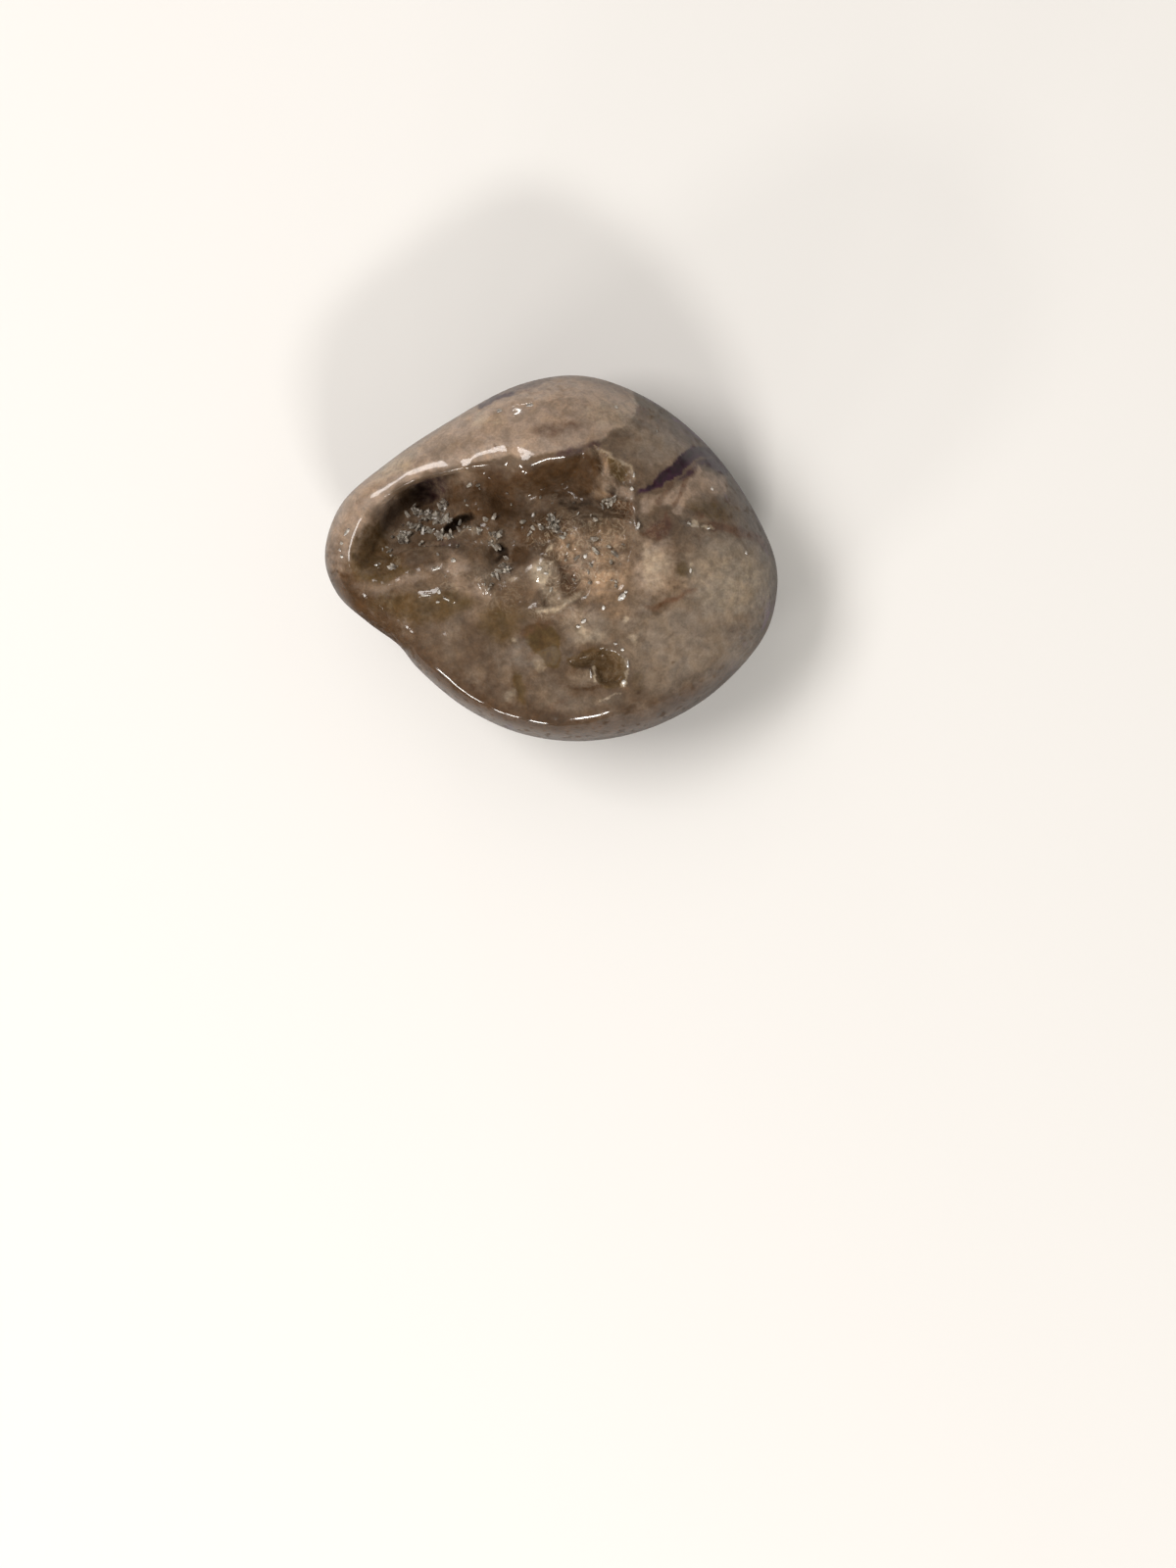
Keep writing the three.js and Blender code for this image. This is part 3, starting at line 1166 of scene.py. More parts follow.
    def wandered(self, x: Array, y: Array) -> tuple[Array, Array]:
        """Moves the points a little, so that edges read there wander.

        Args:
            x: first coordinate of the points.
            y: second coordinate.

        Returns:
            The two coordinates of the moved points.
        """
        along, across = self.wander
        return x + along.lumps(x, y), y + across.lumps(x, y)

    def in_hollow(self, x: Array, y: Array) -> Array:
        """How far down the hollow's wall each point is.

        Args:
            x: first coordinate of the wandered points.
            y: second coordinate.

        Returns:
            Numbers from 0 at the mouth's edge to 1 at the foot of the wall.
        """
        nearness = ease(*self.wall_change, y - self.middle_line_slope * x)
        far = np.interp(x, *zip(*self.far_walls))
        width = blend(far, self.near_wall, nearness)
        return ease(0, width, distance_inside(self.hollow_edge, x, y))

    def worn_depth(self, plain_x: Array, plain_y: Array) -> tuple[Array, Array, Array, Array]:
        """How far the face lies below the plain dome.

        Args:
            plain_x: first coordinate of the points.
            plain_y: second coordinate.

        Returns:
            The depth, the roughness, how crumbly the rock is, and the share of the hollow's wall
            passed, the last three from 0 to 1.
        """
        x, y = self.wandered(plain_x, plain_y)
        wall = self.in_hollow(x, y)
        bowls = sum(bowl.depth_at(x, y) for bowl in self.hollow_bowls)
        hollow = wall * (self.hollow_depth + bowls)
        ledge = self.ledge.depth_at(x, y)
        face = sum(bowl.depth_at(x, y) for bowl in self.face_bowls)
        face += sum(step.depth_at(x, y) for step in self.steps)
        welts = sum(welt.height_at(x, y) for welt in self.welts)
        welts += sum(welt.height_at(plain_x, plain_y) for welt in self.fine_welts)
        on_ledge = ledge / self.ledge.depth
        rough = np.maximum(wall, on_ledge)
        broken = [mark.cover(plain_x, plain_y) for mark in DRUSE + CRUMBLY]
        crumbly = np.maximum.reduce([on_ledge] + broken)
        lumps = rough * self.lumps.lumps(x, y)
        crumbs = self.crumbs.rough(x, y) * np.maximum(crumbly, self.calm_crumb * rough)
        facets = crumbly * self.facets.crystals(x, y)
        depth = np.maximum(hollow, ledge) + face - welts + lumps
        return depth + crumbs - facets + self.ripple.rough(x, y), rough, crumbly, wall

    def face_height(self, x: Array, y: Array) -> Array:
        """Height of the upper face at points seen from above.

        Args:
            x: first coordinate of the points, all inside the girdle.
            y: second coordinate.

        Returns:
            One height for each point.
        """
        bearing = np.arctan2(y, x)
        power = self.shoulder(bearing)
        out = np.hypot(x, y) / self.girdle_radius(bearing)
        rise = (1.0 - out**power) ** (1.0 / power)
        plain = blend(self.girdle_level(bearing), self.dome_height(x, y), rise)
        return plain + self.swell(x, y, rise) - self.worn_depth(x, y)[0]

    def skin(self, unit: Array) -> tuple[Array, dict[str, Array]]:
        """The points of the skin for points of the unit sphere.

        Args:
            unit: points of the unit sphere.

        Returns:
            The points of the skin, and the masks by name.
        """
        shrink = math.sqrt(1 - self.crowding**2) / (1 + self.crowding * unit[:, 2])
        up = (unit[:, 2] + self.crowding) / (1 + self.crowding * unit[:, 2])
        out = np.hypot(unit[:, 0], unit[:, 1]) * shrink
        bearing = np.arctan2(unit[:, 1], unit[:, 0])
        power = np.where(up >= 0, self.shoulder(bearing), self.underside_squareness)
        norm = (out**power + np.abs(up) ** power) ** (1 / power)
        radius = self.girdle_radius(bearing) * out / norm
        x, y = radius * np.cos(bearing), radius * np.sin(bearing)
        rise = up / norm
        swell = self.swell(x, y, rise)
        girdle = self.girdle_level(bearing)
        depth, rough, crumbly, wall = self.worn_depth(x, y)
        crown = blend(girdle, self.dome_height(x, y), rise) + swell - depth
        base = np.maximum(0.0, girdle + (girdle + self.flat_cut) * rise + swell)
        upper = (up >= 0).astype(float)
        far = 1.0 - ease(*self.wall_change, y - self.middle_line_slope * x)
        pocket = ease(*self.overhang_end, x) * ease(*self.overhang_start, x)
        on_wall = ease(*self.overhang_top, wall) * ease(*self.overhang_foot, wall)
        under = self.overhang * pocket * far * on_wall * upper
        points = np.stack([x, y + under, np.where(up >= 0, crown, base)], axis=1)
        masks = self.tint_masks(x, y, ease(*self.face_from, rise))
        masks["rough"] = rough * upper
        masks["crumbly"] = crumbly * upper
        masks["hidden"] = ease(*self.hidden_from, rise)
        return points, masks

    def tint_masks(self, x: Array, y: Array, face: Array) -> dict[str, Array]:
        """How much of each tint lies at each point.

        Args:
            x: first coordinate of the points.
            y: second coordinate.
            face: 1 where a point is on the upper face, and 0 on the underside.

        Returns:
            The masks by name, with numbers from 0 to 1.
        """
        along, across = self.tint_wander
        warp_x, warp_y = x + along.rough(x, y), y + across.rough(x, y)
        masks = {tint.value: np.zeros_like(x) for tint in Tint}
        for mark in MARKS:
            name = mark.tint.value
            masks[name] = np.maximum(masks[name], mark.cover(warp_x, warp_y) * face)
        return masks

    def build(self) -> bpy.types.Object:
        """Builds the skin as one mesh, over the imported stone.

        Returns:
            The dressed piece.
        """
        unit, triangles = divided_sphere(self.splits)
        points, masks = self.skin(unit)
        low, high = (np.array(corner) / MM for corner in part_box("stone"))
        self.shift = (low + high - points.min(axis=0) - points.max(axis=0)) / 2
        self.shift[2] = 0.0
        skin = build_piece("rock_skin", points + self.shift, triangles, self.finish.material())
        skin.data.polygons.foreach_set("use_smooth", [True] * len(triangles))
        for name, values in masks.items():
            layer = skin.data.attributes.new(name, "FLOAT", "POINT")
            layer.data.foreach_set("value", values.astype(np.float32))
        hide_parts("stone")
        return skin


def build_piece(name: str, points: Array, triangles: Array,
                material: bpy.types.Material) -> bpy.types.Object:
    """Args:
        name: the piece's name.
        points: its points in millimetres.
        triangles: rows of three point numbers.
        material: its finish.

    Returns:
        The piece, in the scene.
    """
    mesh = bpy.data.meshes.new(name)
    mesh.from_pydata(points * MM, [], triangles.tolist())
    mesh.materials.append(material)
    piece = add_to_scene(name, mesh)
    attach(piece, "root")
    return piece


@dataclass(frozen=True)
class Cleavage:
    """A small bright crystal face in the skin: where it lies, its half sizes and its turn."""

    at: Spot
    half: Spot
    turn: float = 0.0


@dataclass
class DruseGrains:
    """Small crystals that stand in the hollow, and single bright crystal faces.

    Of the points tried, patch_share stay where a patch of druse has its lace, and loose_share on
    other rough rock. A crystal has an uneven foot, sunk into the rock, and leans at random. A
    bright face is a low dome, turned to throw the window's light up to the camera.
    """

    pebble: Pebble
    seed: int = 11
    tries: int = 70000
    field_low: Spot = (-14.0, -5.0)
    field_high: Spot = (13.0, 6.0)
    patch_share: float = 0.32
    loose_share: float = 0.0022
    lace: Relief = Relief(0.6, 1.0, 61.5, 2)
    lace_from: float = 0.0
    half_sizes: Spot = (0.07, 0.22)
    sides: int = 5
    uneven: Spot = (0.7, 1.2)
    taper: float = 0.75
    tall: Spot = (0.8, 1.8)
    sunk: float = 0.6
    lean: float = 0.9
    probe: float = 0.12
    light_bearing: float = math.radians(278)
    light_tilt: float = math.radians(27)
    dome: float = 0.06
    lift: float = 0.07
    face_root: float = 4
    face_corners: int = 7
    corner_shift: float = 0.3
    finish: CrystalFinish = field(default_factory=CrystalFinish)

    def spots(self, chance: np.random.Generator) -> tuple[Array, Array]:
        """Where the crystals stand.

        Args:
            chance: the numbers that scatter them.

        Returns:
            Their two coordinates.
        """
        x, y = (chance.uniform(self.field_low[k], self.field_high[k], self.tries) for k in (0, 1))
        cover = np.maximum.reduce([patch.cover(x, y) for patch in DRUSE])
        lace = self.lace.rough(x, y) > self.lace_from
        rough = self.pebble.worn_depth(x, y)[1]
        share = np.maximum(self.patch_share * cover * lace, self.loose_share * rough)
        kept = chance.random(self.tries) < share
        return x[kept], y[kept]

    def crystals(self) -> tuple[Array, Array]:
        """Stubby pointed crystals, each with its foot in the rock.

        Returns:
            Their points and triangles.
        """
        chance = np.random.default_rng(self.seed)
        x, y = self.spots(chance)
        count = len(x)
        z = self.pebble.face_height(x, y)
        slope_x = (self.pebble.face_height(x + self.probe, y) - z) / self.probe
        slope_y = (self.pebble.face_height(x, y + self.probe) - z) / self.probe
        axis = np.stack([-slope_x, -slope_y, np.ones(count)], axis=1)
        axis /= np.linalg.norm(axis, axis=1)[:, None]
        axis += self.lean * chance.uniform(-1, 1, (count, 3))
        axis /= np.linalg.norm(axis, axis=1)[:, None]
        side = np.cross(axis, chance.uniform(-1, 1, (count, 3)))
        side /= np.linalg.norm(side, axis=1)[:, None]
        other = np.cross(axis, side)
        half = chance.uniform(*self.half_sizes, count)
        height = half * chance.uniform(*self.tall, count)
        foot = np.stack([x, y, z], axis=1) - axis * (half * self.sunk)[:, None]
        turns = 2 * math.pi * np.arange(self.sides) / self.sides
        ring = side[:, None] * np.cos(turns)[:, None] + other[:, None] * np.sin(turns)[:, None]
        uneven = half[:, None, None] * chance.uniform(*self.uneven, (count, self.sides, 1))
        low = foot[:, None] + ring * uneven
        stem = (axis * (height + half)[:, None])[:, None]
        high = foot[:, None] + ring * uneven * self.taper + stem
        tip = foot + axis * (height + 2 * half)[:, None]
        points = np.concatenate([low, high, tip[:, None]], axis=1)
        faces = []
        for k in range(self.sides):
            after = (k + 1) % self.sides
            faces += [
                (k, after, self.sides + k),
                (after, self.sides + after, self.sides + k),
                (self.sides + k, self.sides + after, 2 * self.sides),
            ]
        start = points.shape[1] * np.arange(count)[:, None, None]
        return points.reshape(-1, 3), (np.array(faces)[None] + start).reshape(-1, 3)

    def build_crystals(self) -> bpy.types.Object:
        """Builds all the crystals as one mesh.

        Returns:
            The dressed piece.
        """
        points, triangles = self.crystals()
        points = points + self.pebble.shift
        return build_piece("druse_crystals", points, triangles, self.finish.material())

    def build_faces(self) -> bpy.types.Object:
        """Builds the bright crystal faces, all turned towards the window.

        Returns:
            The dressed piece.
        """
        tilt, way = math.sin(self.light_tilt), self.light_bearing
        normal = np.array([tilt * math.cos(way), tilt * math.sin(way), math.cos(self.light_tilt)])
        chance = np.random.default_rng(self.seed)
        count = self.face_corners
        points, triangles = [], []
        for face in CLEAVAGES:
            turn = math.radians(face.turn)
            along = np.array([math.cos(turn), math.sin(turn), 0.0])
            along -= normal * along.dot(normal)
            along /= np.linalg.norm(along)
            across = np.cross(normal, along)
            at = np.array(face.at)
            height = self.pebble.face_height(at[:1], at[1:])[0]
            middle = np.array([*face.at, height + self.lift])
            shifts = chance.uniform(-self.corner_shift, self.corner_shift, count)
            turns = 2 * math.pi * (np.arange(count) + shifts) / count
            long, wide = along * face.half[0], across * face.half[1]
            ring = [middle + long * math.cos(t) + wide * math.sin(t) for t in turns]
            crown = len(points)
            points += [middle + normal * self.dome * min(face.half)] + ring
            points += [corner - normal * self.face_root * self.lift for corner in ring]
            top, low = crown + 1, crown + 1 + count
            for k in range(count):
                after = (k + 1) % count
                triangles += [
                    (crown, top + k, top + after),
                    (top + k, low + k, top + after),
                    (low + k, low + after, top + after),
                ]
        moved = np.array(points) + self.pebble.shift
        return build_piece("crystal_faces", moved, np.array(triangles), self.finish.material())


@dataclass(frozen=True)
class Lamp:
    """An even rectangular lamp that faces the stone.

    bearing and height are the angles at which it stands, in degrees around and above the stone.
    """

    name: str
    bearing: float
    height: float
    distance: float
    size: Spot
    watts: float
    colour: Colour = (1.0, 0.97, 0.93)

    def build(self) -> bpy.types.Object:
        """Builds the lamp.

        Returns:
            The lamp, in the scene.
        """
        light = bpy.data.lights.new(self.name, "AREA")
        light.shape = "RECTANGLE"
        light.size, light.size_y = self.size[0] * MM, self.size[1] * MM
        light.energy = self.watts
        light.color = self.colour
        lamp = add_to_scene(self.name, light)
        along, tall = math.radians(self.bearing), math.radians(self.height)
        out = math.cos(tall)
        way = Vector((out * math.cos(along), out * math.sin(along), math.sin(tall)))
        lamp.location = way * self.distance * MM
        lamp.rotation_euler = way.to_track_quat("Z", "Y").to_euler()
        return lamp


@dataclass
class Studio:
    """The floor, the lamps, the sky light and the camera above the stone."""

    camera_at: Point = (2.78, -17.54, 295.0)
    lens: float = 85.0
    sensor: float = 36.0
    nearest_seen: float = 0.01
    floor_size: float = 3000.0
    floor_colour: Colour = (0.72, 0.71, 0.69)
    floor_roughness: float = 0.8
    sky_colour: Colour = (1.0, 0.96, 0.90)
    sky_strength: float = 0.36
    overhead_strength: float = 0.15
    overhead: Spot = (0.75, 0.95)
    lamps: tuple[Lamp, ...] = (
        Lamp("key", 125, 58, 700, (560, 560), 0.85, (1.0, 0.94, 0.87)),
        Lamp("left", 166, 57, 600, (340, 200), 2.5, (1.0, 0.96, 0.94)),
        Lamp("far", 110, 10, 600, (70, 14), 0.16),
        Lamp("window", 278, 36, 600, (150, 60), 1.6),
        Lamp("corner", 223, 22, 600, (130, 50), 0.8),
        Lamp("low_corner", 244, 10, 600, (90, 40), 0.5),
        Lamp("low_window", 258, 8, 600, (60, 40), 0.4),
    )

    def build_camera(self) -> bpy.types.Object:
        """Builds the camera, which looks straight down.

        Returns:
            The camera, in the scene.
        """
        data = bpy.data.cameras.new("camera")
        data.lens = self.lens
        data.sensor_width = self.sensor
        data.clip_start = self.nearest_seen
        camera = add_to_scene("camera", data)
        camera.location = Vector(self.camera_at) * MM
        bpy.context.scene.camera = camera
        return camera

    def build_floor(self) -> bpy.types.Object:
        """Builds the pale floor that the stone lies on.

        Returns:
            The floor, in the scene.
        """
        half = self.floor_size / 2 * MM
        mesh = bpy.data.meshes.new("floor")
        corners = [(-half, -half, 0), (half, -half, 0), (half, half, 0), (-half, half, 0)]
        mesh.from_pydata(corners, [], [(0, 1, 2, 3)])
        desk = NodeDesk(bpy.data.materials.new("floor"))
        shader = desk.shader()
        desk.feed(shader.inputs["Base Color"], self.floor_colour)
        desk.feed(shader.inputs["Roughness"], self.floor_roughness)
        mesh.materials.append(desk.material)
        floor = add_to_scene("floor", mesh)
        return floor

    def build_sky(self) -> None:
        """Soft light from all around, weaker overhead so that the face isn't hazy."""
        world = bpy.data.worlds.new("studio")
        world.use_nodes = True
        tree = world.node_tree
        sky = tree.nodes["Background"]
        sky.inputs["Color"].default_value = (*self.sky_colour, 1.0)
        way = tree.nodes.new("ShaderNodeTexCoord")
        split = tree.nodes.new("ShaderNodeSeparateXYZ")
        tree.links.new(way.outputs["Generated"], split.inputs[0])
        shade = tree.nodes.new("ShaderNodeMapRange")
        shade.interpolation_type = "SMOOTHSTEP"
        tree.links.new(split.outputs["Z"], shade.inputs[0])
        reach = (*self.overhead, self.sky_strength, self.overhead_strength)
        for number, value in enumerate(reach, start=1):
            shade.inputs[number].default_value = value
        tree.links.new(shade.outputs[0], sky.inputs["Strength"])
        bpy.context.scene.world = world

    def build(self) -> None:
        """Builds the whole studio."""
        self.build_camera()
        self.build_floor()
        self.build_sky()
        for lamp in self.lamps:
            lamp.build()
        bpy.context.scene.view_settings.view_transform = "Standard"


# The tables below place every mark on the face. After the tint, a patch has its middle, half
# sizes, turn, strength and softness, a streak its line, half width, strength and softness, and a
# field its outline, strength and border.

CLEAVAGES: tuple[Cleavage, ...] = (
    Cleavage((-0.85, -1.25), (0.22, 0.16), 30), Cleavage((-0.35, -1.6), (0.2, 0.08), -10),
    Cleavage((-3.9, 10.9), (0.24, 0.09), 12), Cleavage((-1.6, 11.3), (0.3, 0.08), 10),
    Cleavage((6.6, 1.9), (0.4, 0.13), 78), Cleavage((6.15, 4.8), (0.14, 0.14)),
    Cleavage((6.3, 5.8), (0.3, 0.07), 85), Cleavage((5.4, -3.4), (0.4, 0.22), 55),
    Cleavage((4.0, -4.2), (0.18, 0.12), 90), Cleavage((2.6, -0.3), (0.2, 0.14), 60),
    Cleavage((2.6, -3.4), (0.15, 0.1)), Cleavage((2.5, -5.2), (0.25, 0.14), 40),
    Cleavage((2.1, -5.6), (0.16, 0.12)), Cleavage((-7.4, -0.6), (0.2, 0.18)),
    Cleavage((-8.7, -1.2), (0.35, 0.09), 20), Cleavage((-8.5, -2.95), (0.14, 0.18)),
    Cleavage((-9.5, -3.2), (0.4, 0.06), 4), Cleavage((-7.9, -3.5), (0.3, 0.07), -30),
    Cleavage((-8.6, -3.7), (0.16, 0.08)), Cleavage((4.9, -6.9), (0.14, 0.08)),
    Cleavage((5.45, -7.35), (0.12, 0.12)), Cleavage((5.85, -8.5), (0.4, 0.06), 92),
    Cleavage((5.55, -9.8), (0.16, 0.2)), Cleavage((3.05, -9.3), (0.4, 0.06), 95),
    Cleavage((12.3, 5.0), (0.12, 0.12)), Cleavage((14.9, 0.1), (0.11, 0.13)),
    Cleavage((8.1, 9.4), (0.07, 0.07)), Cleavage((10.6, -1.4), (0.22, 0.08), 85),
    Cleavage((5.0, 11.2), (0.14, 0.1), -30), Cleavage((-15.6, 1.7), (0.36, 0.12), 60),
    Cleavage((-16.0, 0.85), (0.14, 0.12)), Cleavage((-16.15, 0.35), (0.1, 0.1)),
    Cleavage((-16.0, -0.15), (0.13, 0.1)), Cleavage((5.7, -3.0), (0.12, 0.1)),
    Cleavage((10.5, 2.2), (0.16, 0.14)), Cleavage((12.0, 1.9), (0.12, 0.08)),
)

DRUSE: list[Mark] = [
    Field(Tint.GREY, (
        (-11.5, 3.4), (-10.8, 3.9), (-9.9, 3.7), (-8.7, 3.8), (-8.0, 4.4), (-7.6, 3.7),
        (-7.6, 2.5), (-8.5, 2.3), (-9.4, 2.6), (-10.2, 2.7), (-10.8, 3.3)), 0.9, 0.4),
    Field(Tint.GREY, (
        (-12.5, 2.0), (-11.9, 2.4), (-10.6, 2.5), (-10.4, 1.8), (-10.8, 1.4), (-11.0, 0.9),
        (-11.6, 0.9), (-11.9, 1.4), (-12.4, 1.6)), 0.9, 0.35),
    Streak(Tint.GREY, ((-10.2, 2.2), (-9.3, 1.9)), 0.2, 0.9),
    Patch(Tint.GREY, (-12.6, 0.4), (0.3, 0.22), 0, 0.6, 0.4),
    Patch(Tint.GREY, (-11.8, -0.8), (0.35, 0.25), 45, 0.8, 0.4),
    Field(Tint.GREY, (
        (-8.8, 1.5), (-8.35, 1.7), (-7.8, 1.5), (-7.1, 1.8), (-6.5, 2.15), (-6.0, 2.15),
        (-5.2, 1.85), (-5.8, 1.35), (-6.4, 1.5), (-6.9, 1.35), (-7.8, 1.1), (-8.5, 1.15)),
        0.7, 0.15),
    Field(Tint.GREY, (
        (-4.7, 1.4), (-4.2, 1.7), (-3.8, 1.4), (-3.9, 0.7), (-4.3, 0.4), (-4.7, 0.9)), 0.75, 0.2),
    Patch(Tint.GREY, (-3.3, -0.8), (0.45, 0.5), 0, 0.6, 0.4),
    Streak(Tint.GREY, ((-5.3, -2.1), (-4.6, -1.6), (-4.3, -1.6)), 0.13, 0.7),
    Streak(Tint.GREY, ((-4.1, -1.5), (-3.3, -1.0), (-3.1, -0.8)), 0.13, 0.6),
    Field(Tint.GREY, (
        (-5.3, -2.1), (-4.7, -1.85), (-4.4, -2.1), (-4.7, -3.0), (-5.1, -3.0)), 0.5, 0.2),
    Field(Tint.GREY, (
        (0.2, 3.4), (0.9, 3.45), (1.9, 3.3), (2.6, 3.2), (2.5, 2.9), (1.7, 2.8), (0.9, 2.5),
        (0.4, 2.8)), 0.6, 0.2),
    Field(Tint.GREY, ((-0.3, 4.0), (0.0, 4.6), (0.6, 4.7), (0.55, 4.2), (0.0, 3.9)), 0.5, 0.2),
    Streak(Tint.GREY, ((0.1, 2.5), (0.5, 1.7)), 0.25, 0.75),
    Patch(Tint.GREY, (4.5, 3.9), (0.25, 0.35), 0, 0.8, 0.4),
]

DUST_SHARE = 0.65
DUSTING: list[Mark] = [replace(mark, strength=DUST_SHARE * mark.strength) for mark in DRUSE]

CRUMBLY: list[Mark] = [
    Field(Tint.WORN, (
        (3.0, 8.3), (5.3, 7.2), (6.2, 6.3), (6.3, 4.4), (6.4, 2.4), (4.9, 1.9), (4.2, 3.4),
        (4.0, 5.0), (3.3, 6.5)), 0.6, 0.4),
    Field(Tint.WORN, (
        (1.1, -7.9), (2.8, -7.4), (4.4, -7.0), (5.6, -7.8), (5.6, -9.8), (4.4, -10.4),
        (2.6, -10.0), (1.4, -9.0)), 0.25, 0.4),
    Patch(Tint.WORN, (1.9, -4.9), (1.6, 0.8), 10, 0.5, 1.0),
    Patch(Tint.WORN, (0.1, -4.2), (1.7, 0.8), 10, 0.6, 1.0),
    Patch(Tint.WORN, (-3.4, -3.6), (1.8, 1.2), 0, 0.35, 1.0),
    Patch(Tint.WORN, (-6.6, -2.0), (2.2, 0.8), 10, 0.5, 1.0),
    Patch(Tint.WORN, (7.6, 1.6), (1.2, 1.2), 0, 0.3, 1.0),
]

WORN_MARKS: list[Mark] = [
    Patch(Tint.WORN, (-12.6, -4.4), (3.4, 1.8), -40, 0.8, 1.0),
    Streak(Tint.WORN, ((-15.3, -1.4), (-13.4, -2.3), (-10.4, -1.6), (-7.4, -0.8)), 0.9, 0.8, 1.0),
    Patch(Tint.WORN, (-3.0, -2.0), (1.7, 1.1), 20, 0.8, 1.0),
    Patch(Tint.WORN, (3.5, -8.8), (2.0, 1.3), -15, 0.9, 0.7),
    Streak(Tint.WORN, ((2.9, 8.2), (3.5, 6.5), (3.8, 4.8)), 0.5, 1.0, 0.7),
    Streak(Tint.WORN, ((6.55, 1.1), (6.2, 0.2), (5.7, -1.3)), 0.45, 1.0, 0.7),
]

LOBE_MARKS: list[Mark] = [
    Patch(Tint.CREAM, (-5.2, 10.4), (0.7, 0.45), 20, 0.3, 0.9),
    Patch(Tint.CREAM, (-4.0, 10.2), (0.5, 0.5), 0, 0.25, 0.9),
    Streak(Tint.VIOLET, ((-5.4, 11.5), (-4.4, 12.0), (-3.2, 12.5)), 0.28, 0.85, 0.8),
    Field(Tint.LOBE, (
        (-18.5, -2.7), (-18.5, 3.0), (-13.6, 9.0), (-9.0, 12.5), (-2.4, 15.0), (3.0, 16.0),
        (6.2, 14.5), (6.7, 11.5), (6.5, 10.4), (4.9, 9.2), (2.8, 8.1), (-0.2, 7.3), (-4.7, 6.9),
        (-8.0, 6.3), (-10.6, 5.5), (-13.2, 3.7), (-14.9, 1.4), (-15.7, -0.4), (-15.8, -2.7)),
        0.95, 0.4),
    # Painted sheen: a pale patch on the lobe's left end.
    Patch(Tint.CREAM, (-11.9, 6.9), (1.8, 0.6), 38, 0.5, 1.2),
    Patch(Tint.RUSSET, (0.4, 9.5), (1.8, 0.6), 8, 0.45, 0.8),
    Patch(Tint.RUSSET, (-4.3, 8.3), (0.2, 0.2), 0, 0.8, 0.5),
    Patch(Tint.OLIVE, (-7.9, 7.9), (1.4, 0.8), 20, 0.18, 1.0),
    Patch(Tint.CREAM, (-5.3, 10.6), (0.35, 0.5), 0, 0.35, 0.8),
    Patch(Tint.CREAM, (-4.2, 10.1), (0.35, 0.3), 0, 0.25, 0.8),
    Patch(Tint.LOBE, (-6.4, 5.4), (1.1, 1.0), -30, 0.4, 1.1),
    Streak(Tint.CREAM, ((6.3, 12.0), (6.7, 11.3), (6.4, 10.6)), 0.12, 0.4),
    Field(Tint.OLIVE, (
        (6.65, 12.4), (7.6, 12.0), (9.4, 11.5), (9.5, 9.8), (8.4, 10.1), (7.2, 10.4), (6.7, 10.8)),
        0.6, 0.3),
    Patch(Tint.CREAM, (4.6, 10.6), (1.7, 1.1), 0, 0.3, 1.2),
    Patch(Tint.VIOLET, (-2.4, 13.2), (2.4, 0.5), 18, 0.45, 0.8),
    Streak(Tint.VIOLET, ((3.4, 8.3), (2.4, 8.0), (0.8, 7.5)), 0.4, 0.35, 1.0),
    Patch(Tint.RUSSET, (6.6, 8.7), (0.3, 0.25), 0, 0.4, 0.8),
]

